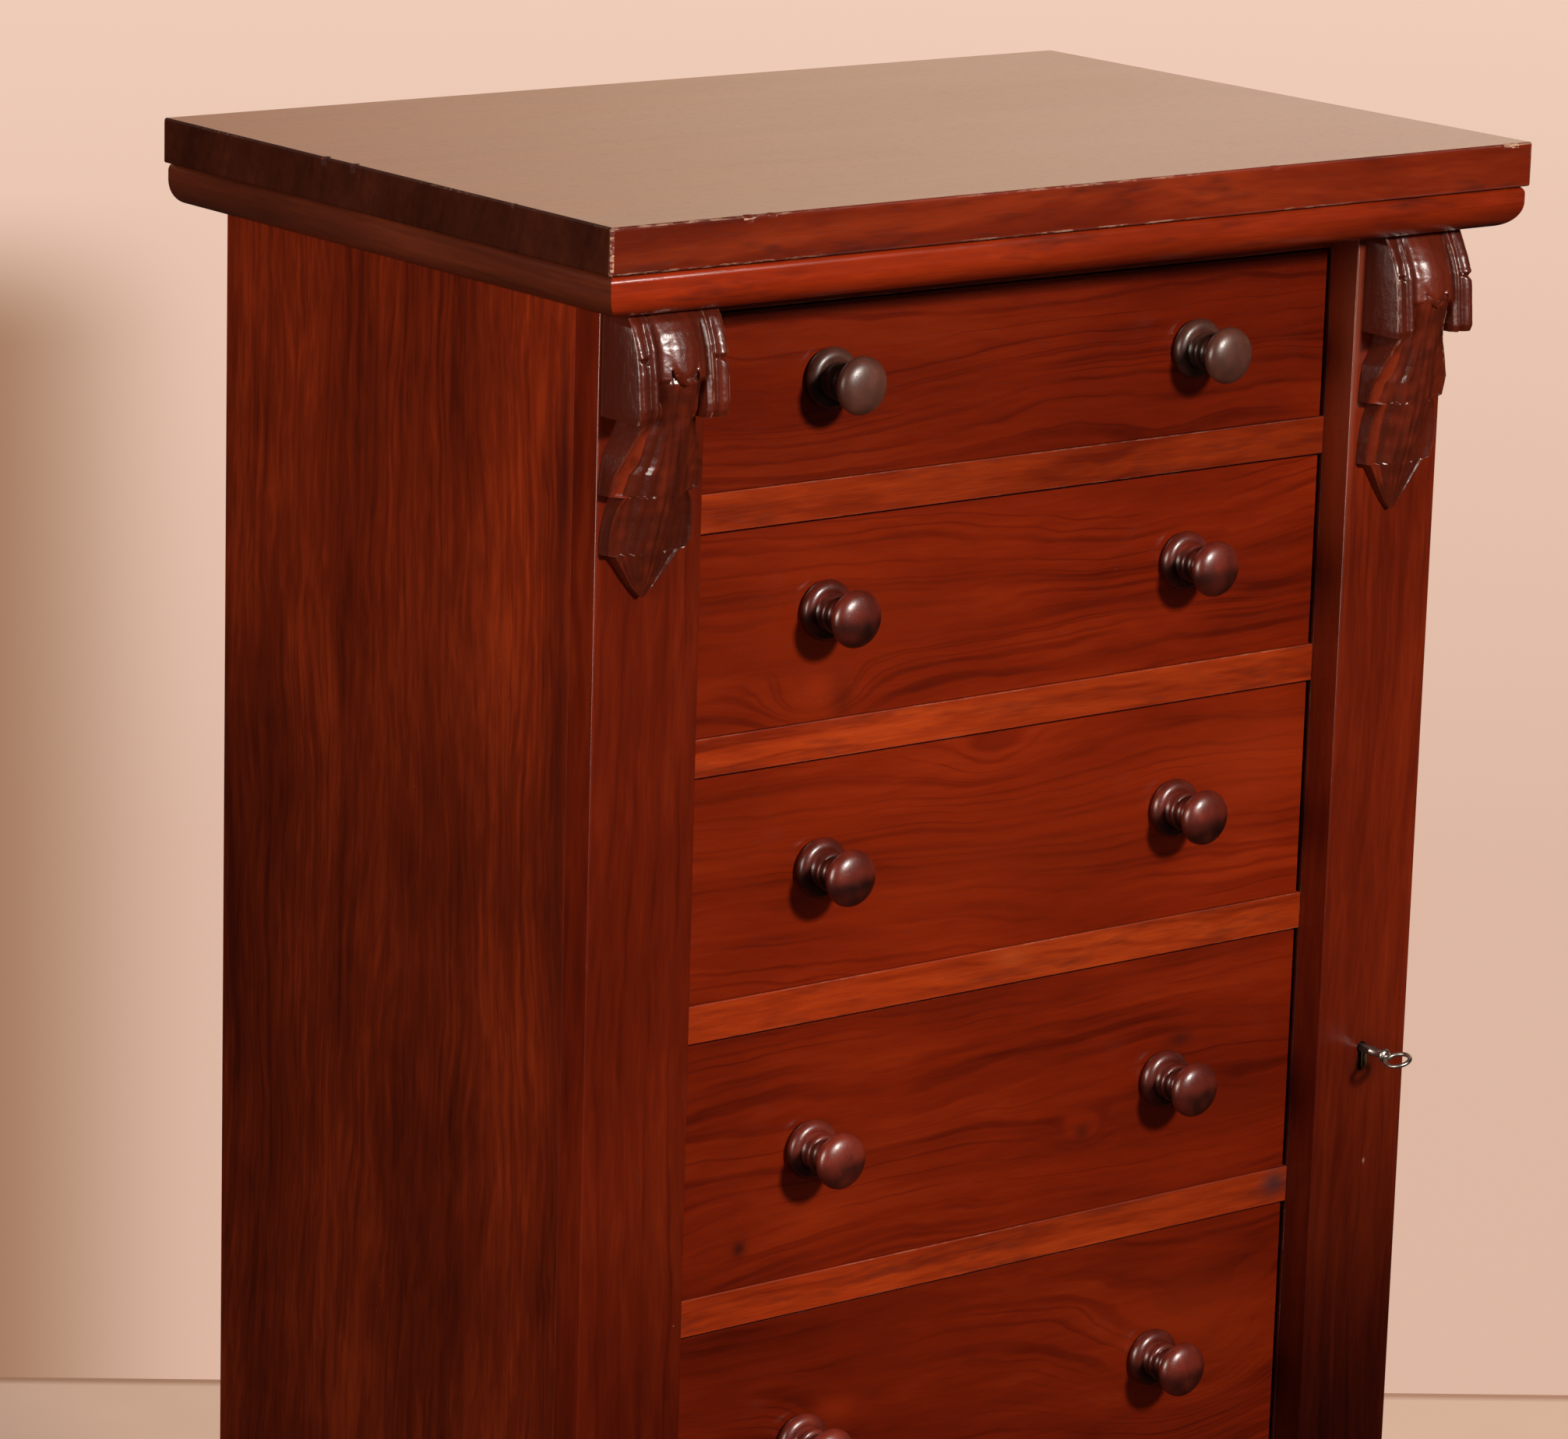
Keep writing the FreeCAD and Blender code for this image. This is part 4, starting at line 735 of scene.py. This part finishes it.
# Rows of the stem and leaf: v, then half place and height by turns, from the middle to the foot
LEAF = [(row[0], pairs(*row[1:])) for row in (
    (28, 0, 28.6, 6, 28.2, 9.8, 27, 12, 24, 13, 23, 14, 12),
    (34, 0, 31, 6, 30.6, 9.8, 29.3, 12.4, 26.6, 13.4, 26, 14.4, 14),
    (40, 0, 30, 6, 29.5, 9.6, 28, 12, 25.4, 13.4, 24.8, 14.6, 8),
    (46, 0, 28.6, 6, 28, 9.3, 26.2, 11.2, 23.6, 13.2, 23.6, 15.2, 3),
    (52, 0, 27, 6, 26.4, 9, 24.5, 10.5, 22, 13, 22.4, 16, 1),
    (60, 0, 25.8, 5.6, 25.2, 8.8, 22.8, 12.8, 18.9, 16.6, 18.7, 19.5, 1),
    (66, 0, 24.6, 6, 23.8, 9.2, 21.2, 13.4, 17, 19.5, 16.8, 22.6, 1),
    (71, 0, 23.6, 6.2, 22.6, 9.4, 19.8, 13.8, 15.4, 22, 15, 25.4, 1),
    (76, 0, 22.6, 6.6, 21.4, 10.2, 18.2, 15, 13.6, 24, 13.4, 26.4, 1),
    (80, 0, 21.8, 7, 20.4, 12, 16.4, 17.8, 11.8, 26, 11.8, 26.8, 1),
    (86, 0, 20.6, 7, 19, 12.6, 14.6, 18.6, 9.8, 26.6, 10, 27.2, 1),
    (91, 0, 19.5, 7, 17.8, 13, 13.2, 19.8, 8.4, 26.8, 8.4, 27.4, 1),
    (91.8, 0, 19.3, 8, 17.4, 13.4, 13.6, 15.6, 11, 18.6, 11.2, 20.4, 1),
    (97, 0, 18.2, 7.6, 16, 12.8, 12.2, 15.6, 9.4, 22.2, 10, 22.8, 1),
    (104, 0, 16.8, 7.2, 14.4, 12.4, 10.4, 15.6, 7.8, 23.8, 8.8, 24.4, 1),
    (110, 0, 15.5, 7, 13, 12, 9, 15.4, 6.8, 24.4, 8.2, 25, 1),
    (116, 0, 14, 6.8, 11.6, 11.8, 8, 15.2, 6, 24.2, 7.6, 25.2, 1),
    (120.5, 0, 12.8, 6.5, 10.6, 11.4, 7.4, 14.8, 5.6, 23.2, 7, 25, 1),
    (121.2, 0, 12.6, 6, 10.6, 10, 8.6, 13, 7, 19.4, 6.6, 20, 1),
    (126, 0, 10.9, 5.2, 9.2, 8.6, 7.6, 11, 6.6, 15.6, 6, 16.2, 1),
    (132, 0, 8.8, 4, 7.6, 6.4, 6.6, 8.2, 5.8, 11.2, 5.2, 11.8, 1),
    (138, 0, 6.8, 2.2, 6, 3.8, 5.4, 5, 4.9, 6.4, 4.4, 7, 1),
    (143.5, 0, 5, 0.3, 4.9, 0.5, 4.8, 0.7, 4.7, 0.9, 4.5, 1.2, 1))]
# Levels of the leaf: where its stem begins, the notch between its two tiers, and its tip
LEAF_TOP, LEAF_NOTCH, LEAF_TIP = 28.0, 91, 143.5
CORBELS = {
    "corbel_left": {"side": pairs(0, 19.4, 4.5, 23.7, 10, 26.6, 16.7, 29.3, 28, 31.4, 36, 32.2, 45, 33,
                                  49, 32.4, 52.4, 30.6),
                    "lip": 0.0, "stretch": 1.0, "deep": 1.0, "seed": 0.0, "lit": 0.25, "red": 0.05},
    "corbel_right": {"side": pairs(0, 14.2, 7, 18.8, 14, 22.7, 22, 25.8, 30, 27, 43, 28.2, 50, 28.9,
                                   53.4, 27.4),
                     "lip": 3.6, "stretch": 1.137, "deep": 0.894, "seed": 2.6, "lit": 0.60, "red": 0.15},
}
FLAT_MARK = (0.0, 0.85, 0)


def roll_height(u, v, form):
    """How far the scrolled roll stands out, with its beads, nicks and the crescent over the leaf's stem."""
    side = np.interp(v, *zip(*form["side"]))
    height = side + np.interp(abs(u), *zip(*ROLL_ACROSS)) * min(1.0, 0.35 + v / 14)
    height -= 0.45 * max(0.0, 1 - abs(u + 8.5) / 3.5)
    if u < 0:
        across, middle = (u + 26.5) / 6.0, 21 + 0.18 * (u + 26.5)
    else:
        across, middle = (u - 18.3) / 8.7, 22.4 + 0.22 * (u - 18.3)
    if 0.0 < across < 1.12 and abs(u) > 18:
        open_half = 0.25 + 2.1 * across
        height -= 2.6 * max(0.0, 1 - abs(v - middle) / open_half) * min(1.0, 3 * across)
        height += 0.4 * max(0.0, 1 - abs(v - middle + open_half + 0.9) / 1.1) * min(1.0, 3 * across)
    swing = (u - 0.4) / 7.8
    lip = 34 + form["lip"] - 8 * min(1.0, swing * swing)
    if abs(swing) < 1 and lip - 5.5 < v <= lip:
        share = (v - lip + 5.5) / 5.5
        height -= 2.4 * share ** 1.6 * (1 - swing * swing) ** 0.5
    if abs(u) < 13.9:
        begin = lip + 0.9 if abs(swing) < 1 else 31.5 + form["lip"]
        reach = 1.2 if abs(swing) < 1 else 7.0
        height -= 6.5 * held((v - begin) / reach)
    return height


def leaf_row(v):
    """The leaf's ridge and valley places at a level, between the rows of the table."""
    for (v0, row0), (v1, row1) in zip(LEAF, LEAF[1:]):
        if v <= v1:
            t = (v - v0) / (v1 - v0)
            return [(a[0] + (b[0] - a[0]) * t, a[1] + (b[1] - a[1]) * t) for a, b in zip(row0, row1)]
    return LEAF[-1][1]


def vein(share, v, hand):
    """Height of the leaf's flutes at a share of its half width, in millimetres."""
    grown = held((v - 52) / 16) * held((141 - v) / 12)
    wander = 0.12 * math.sin(0.10 * v + 2 * hand)
    return grown * (abs(math.sin(math.pi * (3.4 * share + 0.2 * hand + wander))) - 0.6)


def leaf_half(v, hand):
    """Places and heights from the middle to the foot on one side, with veins and a fold in the stem."""
    row = leaf_row(v)
    out = []
    for part, count in enumerate(LEAF_COUNTS):
        for k in range(count):
            t = k / count
            (u0, d0), (u1, d1) = row[part], row[part + 1]
            bow = (0.5, 0.8, 0.3, -0.9, 1.2)[part] * math.sin(math.pi * t)
            out.append([u0 + (u1 - u0) * t, d0 + (d1 - d0) * t + bow * min(1.0, (u1 - u0) / 5)])
    out.append(list(row[-1]))
    body = row[3][0]
    veins = held((v - 82) / 16) * held((141 - v) / 12)
    for pair in out:
        share = pair[0] / max(body, 0.1)
        if share < 1.0:
            pair[1] += 0.95 * vein(share, v, hand)
            fold = max(0.0, 1 - abs(hand * pair[0] + 2.2) / 1.3)
            pair[1] -= 1.0 * fold * held((v - 35) / 4) * held((74 - v) / 12)
        elif pair[0] < row[4][0]:
            rim = (pair[0] - body) / max(row[4][0] - body, 0.1)
            pair[1] += 0.3 * veins * math.sin(2 * math.pi * rim * 1.5)
        pair[1] = max(0.6, pair[1])
    return out


def carve(pile, rows, place, seed, frame_box):
    """One closed body from rows of points (u, d) at levels v, with a mark between every two points."""
    middle, back, top = place
    bm = bmesh.new()
    grid, marked = [], {}
    for v, line, marks in rows:
        points = [bm.verts.new((middle + u * MM, back - d * MM, top - v * MM)) for u, d in line]
        left = bm.verts.new((points[0].co.x, back, top - v * MM))
        right = bm.verts.new((points[-1].co.x, back, top - v * MM))
        grid.append([left] + points + [right])
    for (a, b), (v, line, marks) in zip(zip(grid, grid[1:]), rows):
        for c in range(len(a) - 1):
            face = bm.faces.new([a[c], b[c], b[c + 1], a[c + 1]])
            marked[face] = marks[c - 1] if 0 < c < len(a) - 2 else FLAT_MARK
        bm.faces.new([a[0], a[-1], b[-1], b[0]])
    bm.faces.new(grid[0])
    bm.faces.new(list(reversed(grid[-1])))
    pile.take_closed(bm, grain_frame(*frame_box, seed, 2), lambda f: marked.get(f, FLAT_MARK))


def roughened(u, v, d, seed):
    worn = noise.noise(Vector((u * 0.12 + seed, v * 0.12, 3.0)))
    fine = noise.noise(Vector((u * 0.55, v * 0.55 + seed, 9.0)))
    return max(0.4, d + 0.22 * worn + 0.07 * fine)


def roll_rows(form):
    """Rows of the roll. The crests of its beads are marked as worn."""
    half = [a + (b - a) * k / n for a, b, n in ROLL_STEPS for k in range(n)] + [27.0]
    across = [-u for u in reversed(half[1:])] + half
    marks = []
    for a, b in zip(across, across[1:]):
        middle = abs(0.5 * (a + b))
        crest = abs(middle - 26.6) < 0.5 or abs(middle - 16.9) < 0.25
        marks.append((0.9 if crest else 0.0, 1.06 if abs(a) < 13 else 1.0, 0))
    return [(v, [(u, roughened(u, v, roll_height(u, v, form), form["seed"])) for u in across], marks)
            for v in np.linspace(0.0, form["side"][-1][0], 76)]


def leaf_mark(form, v, lean, column, middle):
    """Wear, tone and paint of the leaf's face in a column, whose middle lies at the given place across."""
    side = column - FOOT
    away = side if side >= 0 else -side - 1
    left = side < 0
    low_leaf = held((v - 56) / 8) * held((136 - v) / 10)
    patch = noise.noise(Vector((0.16 * middle, 0.16 * v, 5.0 + form["seed"])))
    # The band in the leaf's valley is painted lighter, more on the leaf's left half, which faces the lamps,
    # and below the notch by the corbel's lit amount: painted light.
    painted_light = 0.75 if left else 0.25
    if v > LEAF_NOTCH + 0.5:
        painted_light = form["lit"] if left else 0.05
    share = abs(middle - lean) / max(leaf_row(v)[3][0], 0.1)
    flute = 1.0 + 0.12 * vein(min(share, 1.0), v, -1 if left else 1) + 0.30 * patch
    if away in (RIDGE - 1, RIDGE):
        return 1.0, 1.25, 0
    if VALLEY <= away < RIDGE:
        return 0.0, 1.0 + painted_light * low_leaf * (0.9 + 0.9 * patch), 0
    if away > RIDGE:
        return FLAT_MARK
    if away in FLUTES:
        return 0.5 if v > 90 else 0.0, flute, 0
    return 0.25 if flute > 1.2 else 0.0, flute + form["red"], 0


def leaf_rows(form):
    """Rows of the stem and leaf. Below its notch the leaf leans to the left and may be drawn out."""
    rows = []
    for v in sorted(set(np.arange(LEAF_TOP, LEAF_TIP, 0.75).round(3)) | {row[0] for row in LEAF}):
        lean = -3.0 * max(0.0, v - LEAF_NOTCH) / 52.5
        left, right = ([(hand * u + lean, d * form["deep"]) for u, d in leaf_half(v, hand)]
                       for hand in (-1, 1))
        line = [(u, roughened(u, v, d, form["seed"] + 5)) for u, d in left[:0:-1] + right]
        marks = [leaf_mark(form, v, lean, c, 0.5 * (a[0] + b[0]))
                 for c, (a, b) in enumerate(zip(line, line[1:]))]
        real = v if v < LEAF_NOTCH else LEAF_NOTCH + (v - LEAF_NOTCH) * form["stretch"]
        rows.append((real, line, marks))
    return rows


def corbel(node):
    """A carved corbel: a scrolled roll with ears, and a leaf that grows from under its crescent."""
    form = CORBELS[node]
    low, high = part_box(node)
    place = ((low.x + high.x) / 2, high.y, high.z)
    shift = int(10 * form["seed"])
    pile = Pile()
    carve(pile, roll_rows(form), place, 7 + shift, (low, high))
    carve(pile, leaf_rows(form), place, 9 + shift, (low, high))
    pile.smooth = [True] * len(pile.smooth)
    pile.piece(node + "_carved", [CARVED], node)


corbel("corbel_left")
corbel("corbel_right")


# Metalwork
for node, paint in (("hinge_leaves_carcase", BRASS), ("hinge_leaves_flap", BRASS), ("hinge_pins", BRASS),
                    ("lock_case", STEEL), ("lock_cap", BRASS), ("lock_bolt", BRASS), ("lock_staple", BRASS)):
    for place in NODES[node].material_slots:
        place.material = paint

# The key in millimetres: its bow, how that leans, and the bit's outline from the shaft's end: across, along
BOW_RADIUS, BOW_WIRE = 6.8, 1.2
BOW_LEAN = math.radians(17)
BIT = pairs(2.0, -5.0, 11.0, -5.0, 11.0, -3.4, 8.0, -3.4, 8.0, -2.0, 11.0, -2.0, 11.0, 0.0, 2.0, 0.0)


def make_key():
    """The key: a round bow lying level, turned collars, a hollow shaft and a cut bit."""
    low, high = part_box("key")
    x, z = (low.x + high.x) / 2, (low.z + high.z) / 2
    bow_y = low.y + (BOW_RADIUS + BOW_WIRE) * MM
    pile = Pile()
    bm = bmesh.new()
    rings = []
    for a in range(44):
        turn = 2 * math.pi * a / 44
        ring = []
        for b in range(14):
            roll = 2 * math.pi * b / 14
            reach = BOW_RADIUS + BOW_WIRE * math.cos(roll)
            across, up = reach * math.cos(turn), BOW_WIRE * math.sin(roll)
            ring.append(bm.verts.new((x + (across * math.cos(BOW_LEAN) - up * math.sin(BOW_LEAN)) * MM,
                                      bow_y + reach * math.sin(turn) * MM,
                                      z + (across * math.sin(BOW_LEAN) + up * math.cos(BOW_LEAN)) * MM)))
        rings.append(ring)
    for first, second in zip(rings, rings[1:] + rings[:1]):
        joined(bm, first, second)
    pile.take_closed(bm)
    end = (high.y - bow_y) / MM
    line = pairs(0.0, 6.6, 1.8, 6.6, 2.4, 7.6, 2.3, 8.7, 2.7, 9.0, 3.5, 9.4, 3.8, 10.1, 3.8, 10.9, 3.5, 11.6,
                 2.7, 12.0, 2.4, 12.8, 2.4, 19.6, 2.8, 20.0, 2.8, 20.8, 2.4, 21.2, 2.4, end - 0.3, 2.2, end,
                 1.5, end, 1.4, end - 5.0, 0.0, end - 5.0)
    lathe(pile, [(r * MM, d * MM) for r, d in line], (x, bow_y, z), 32, 4, 1.0)
    bm = bmesh.new()
    levels = []
    for up in (-1.2, 1.2):
        levels.append([bm.verts.new((x + a * MM, high.y + b * MM, z + up * MM)) for a, b in BIT])
    bm.faces.new(levels[0])
    bm.faces.new(list(reversed(levels[1])))
    joined(bm, *levels)
    pile.take_closed(bm)
    pile.piece("key_turned", [STEEL], "key")


make_key()


def keyhole():
    """The slot below the key, with its thin brass edge, let in flush with the flap's face. Its floor, a dark
    iron sheet just behind the edge, is painted shade for the hole.
    """
    low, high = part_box("key")
    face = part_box("locking_flap")[0].y
    x, z = (low.x + high.x) / 2 + 2.6 * MM, (low.z + high.z) / 2 - 7.3 * MM
    bm = bmesh.new()
    rims = []
    for half, tall, out in ((1.2, 4.3, 0.04), (1.2, 4.3, 0.12), (1.75, 4.8, 0.12), (1.8, 4.85, -0.3)):
        rim = []
        for k in range(24):
            turn = 2 * math.pi * (k + 0.5) / 24
            up = (tall - half) * (1 if math.sin(turn) > 0 else -1) + half * math.sin(turn)
            rim.append(bm.verts.new((x + half * math.cos(turn) * MM, face - out * MM, z + up * MM)))
        rims.append(rim)
    dark = bm.faces.new(rims[0])
    for inner, outer in zip(rims, rims[1:]):
        joined(bm, inner, outer)
    bm.faces.new(list(reversed(rims[3])))
    pile = Pile()
    pile.take_closed(bm, marks_of=lambda f: (0.0, 1.0, 1 if f == dark else 0))
    pile.piece("keyhole_edge", [BRASS, IRON_AND_SLOT_SHADE], None, "flap")


keyhole()


def heads(name, body, places, radius, out, paint, slotted=True):
    """Flush heads of screws or nails, each at x, y and z. out is -1 or 1, the way along Y that they face."""
    bm = bmesh.new()
    half_slot = 0.16 * radius if slotted else -radius
    first = math.asin(half_slot / radius) if slotted else 0.0
    last = math.pi - first if slotted else 2 * math.pi * 23 / 24
    for number, (x, y, z) in enumerate(places):
        tilt = 2.4 * number + 0.6
        for flip in ((1, -1) if slotted else (1,)):
            rims = []
            for reach, lift in ((radius, 0.0), (0.93 * radius, 0.06 * MM)):
                rim = []
                for k in range(24):
                    turn = first + (last - first) * k / 23
                    a, b = reach * math.cos(turn), flip * max(half_slot, reach * math.sin(turn))
                    rim.append(bm.verts.new((x + a * math.cos(tilt) - b * math.sin(tilt), y + out * lift,
                                             z + a * math.sin(tilt) + b * math.cos(tilt))))
                rims.append(rim)
            bm.faces.new(rims[1])
            joined(bm, *rims)
            bm.faces.new(list(reversed(rims[0])))
    pile = Pile()
    pile.take_closed(bm)
    pile.piece(name, [paint], None, body)


def boxes_of(node):
    """The lowest and highest corners of each solid of a node."""
    points, groups = solids_of(NODES[node].data)
    out = []
    for triangles in groups:
        used = points[sorted({v for t in triangles for v in t})]
        out.append((used.min(axis=0), used.max(axis=0)))
    return sorted(out, key=lambda pair: tuple(pair[0]))


hinge_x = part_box("side_right")[1].x - 8.5 * MM
hinge_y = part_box("pilaster_left")[1].y
for node, body, out in (("hinge_leaves_carcase", "chest", -1), ("hinge_leaves_flap", "flap", 1)):
    places = []
    for low, high in boxes_of(node):
        for share, shift in ((0.16, 1.5), (0.5, 0.0), (0.84, 1.5)):
            places.append((hinge_x - shift * MM, hinge_y, low[2] + share * (high[2] - low[2])))
    heads(node + "_screws", body, places, 3.0 * MM, out, BRASS)
low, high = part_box("lock_cap")
places = [(x, high.y, z) for z in (low.z + 4 * MM, high.z - 4 * MM)
          for x in (low.x + 4 * MM, high.x - 4 * MM)]
heads("lock_cap_screws", "flap", places, 2.0 * MM, 1, STEEL)
low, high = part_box("back_boards")
wide = (high.x - low.x) / 4
places = [(low.x + (board + across) * wide, high.y, z)
          for board in range(4) for across in (0.2, 0.8) for z in (low.z + 14 * MM, high.z - 14 * MM)]
heads("back_nails", "chest", places, 2.2 * MM, 1, IRON_AND_SLOT_SHADE, False)

# Floor, light and camera
EYE = Vector((-1.97277, -2.49977, 1.69480))
RIGHT = Vector((0.7942136946, -0.6070023767, 0.0277978771))
DOWN = Vector((-0.1237499910, -0.2063666539, -0.9706177125))
AHEAD = Vector((0.5949038133, 0.7674378925, -0.2390157613))

camera_data = bpy.data.cameras.new("camera")
camera_data.lens = 140.44
camera_data.sensor_width = 36.0
camera_data.sensor_fit = "HORIZONTAL"
camera_data.clip_start = 0.1
camera_data.clip_end = 60.0
camera = bpy.data.objects.new("camera", camera_data)
bpy.context.scene.collection.objects.link(camera)
turn = Matrix((RIGHT, -DOWN, -AHEAD)).transposed().to_4x4()
camera.matrix_world = Matrix.Translation(EYE) @ turn
bpy.context.scene.camera = camera


def area_light(name, place, aim, size, power, colour, glossy=True):
    data = bpy.data.lights.new(name, "AREA")
    data.shape = "SQUARE"
    data.size = size
    data.energy = power
    data.color = colour
    light = bpy.data.objects.new(name, data)
    light.location = place
    light.rotation_mode = "QUATERNION"
    light.rotation_quaternion = (Vector(aim) - Vector(place)).to_track_quat("-Z", "Y")
    light.visible_camera = False
    light.visible_glossy = glossy
    bpy.context.scene.collection.objects.link(light)


area_light("key_light", (0.22, -3.20, 2.35), (0.0, -0.15, 0.85), 0.36, 139.0, (1.0, 0.93, 0.86))
area_light("left_fill", (-3.0, -0.75, 1.60), (-0.1, -0.1, 0.9), 1.1, 80.0, (1.0, 0.90, 0.80))
area_light("back_fill", (2.2, 1.9, 1.9), (0.3, 0.3, 0.6), 1.0, 22.0, (1.0, 0.92, 0.84), False)

# The floor's level directions away from the camera and across, and how far away it meets the wall
FLOOR_AWAY = Vector((0.573, 0.8195, 0.0)).normalized()
FLOOR_BESIDE = Vector((FLOOR_AWAY.y, -FLOOR_AWAY.x, 0.0))
FLOOR_FAR = 1.459


def floor_material():
    made, t = material("pale_floor")
    place = t.place()
    cloud = t.noise(t.vector("MULTIPLY", place, (3.0, 3.0, 3.0)), 3.0)
    colour = t.ramp(cloud, [(0.3, (0.50, 0.338, 0.260)), (0.7, (0.55, 0.38, 0.292))])
    seam = t.band(t.dot(place, tuple(FLOOR_AWAY)), FLOOR_FAR - 0.017, FLOOR_FAR - 0.006)
    colour = t.mix(t.times(seam, 0.7), colour, (0.24, 0.11, 0.06))
    # The floor glows, more towards its right: painted light.
    floor_painted_light = t.scaled(colour, t.band(t.dot(place, tuple(FLOOR_BESIDE)), -0.95, -0.10, 0.0, 0.49))
    shader = t.add("BsdfPrincipled", {"Base Color": colour, "Emission Color": floor_painted_light, "Emission Strength": 1.0,
                                      "Roughness": 0.8, "Specular IOR Level": 0.1})
    t.add("OutputMaterial", {0: shader.outputs[0]})
    return made


def make_floor():
    mesh = bpy.data.meshes.new("floor")
    corners = [FLOOR_AWAY * a + FLOOR_BESIDE * b
               for a, b in ((-1.6, -1.9), (-1.6, 1.9), (FLOOR_FAR, 1.9), (FLOOR_FAR, -1.9))]
    mesh.from_pydata([c[:] for c in corners], [], [(0, 1, 2, 3)])
    mesh.materials.append(floor_material())
    obj = bpy.data.objects.new("floor", mesh)
    bpy.context.scene.collection.objects.link(obj)
    obj.visible_glossy = False
    obj.visible_diffuse = False


make_floor()

world = bpy.data.worlds.new("room")
bpy.context.scene.world = world
world.use_nodes = True
sky = Tree(world.node_tree)
direction = sky.add("TexCoord").outputs["Generated"]
height = sky.parts(direction)[2]
along_right, along_down, along_ahead = (sky.dot(direction, tuple(v)) for v in (RIGHT, DOWN, AHEAD))
along_ahead = sky.math("MAXIMUM", along_ahead, 0.2)

# The pale wall behind the chest, as its polished top mirrors it: brighter to the right
aside = sky.math("DIVIDE", along_right, along_ahead)
mirror = sky.band(sky.dot(direction, (0.605, 0.780, 0.16)), 0.60, 0.93, kind="SMOOTHSTEP")
mirror = sky.times(mirror, sky.band(height, -0.03, 0.06))
wall = sky.ramp(sky.band(aside, -0.11, 0.11), [(0.0, (0.62, 0.335, 0.215)), (0.5, (0.86, 0.56, 0.385)),
                                               (1.0, (0.98, 0.675, 0.495))])
glossy = sky.mix(mirror, (0.020, 0.012, 0.009), wall)
# Soft light that comes from all round
soft = sky.scaled((1.0, 0.86, 0.76), sky.band(height, -0.5, 0.6, 0.10, 0.24))
# The wall as it is seen, with a soft shadow low at its left
fall = sky.ramp(sky.band(height, -0.40, -0.12), [(0.0, (0.72, 0.47, 0.36)), (0.5, (0.725, 0.475, 0.365)),
                                                 (1.0, (0.87, 0.61, 0.485))])
down = sky.math("DIVIDE", along_down, along_ahead)
shade = sky.band(aside, -0.090, -0.135, kind="SMOOTHSTEP")
shade = sky.times(shade, sky.band(aside, -0.30, -0.20, kind="SMOOTHSTEP"))
shade = sky.times(shade, sky.band(down, -0.088, -0.060, kind="SMOOTHSTEP"))
seen = sky.mix(shade, fall, (0.368, 0.194, 0.110))
trail = sky.add("LightPath").outputs
lit = sky.mix(trail["Is Glossy Ray"], soft, glossy)
background = sky.add("Background", {"Color": sky.mix(trail["Is Camera Ray"], lit, seen), "Strength": 1.0})
sky.add("OutputWorld", {0: background.outputs[0]})

bpy.context.scene.view_settings.view_transform = "Standard"
bpy.context.scene.view_settings.look = "None"
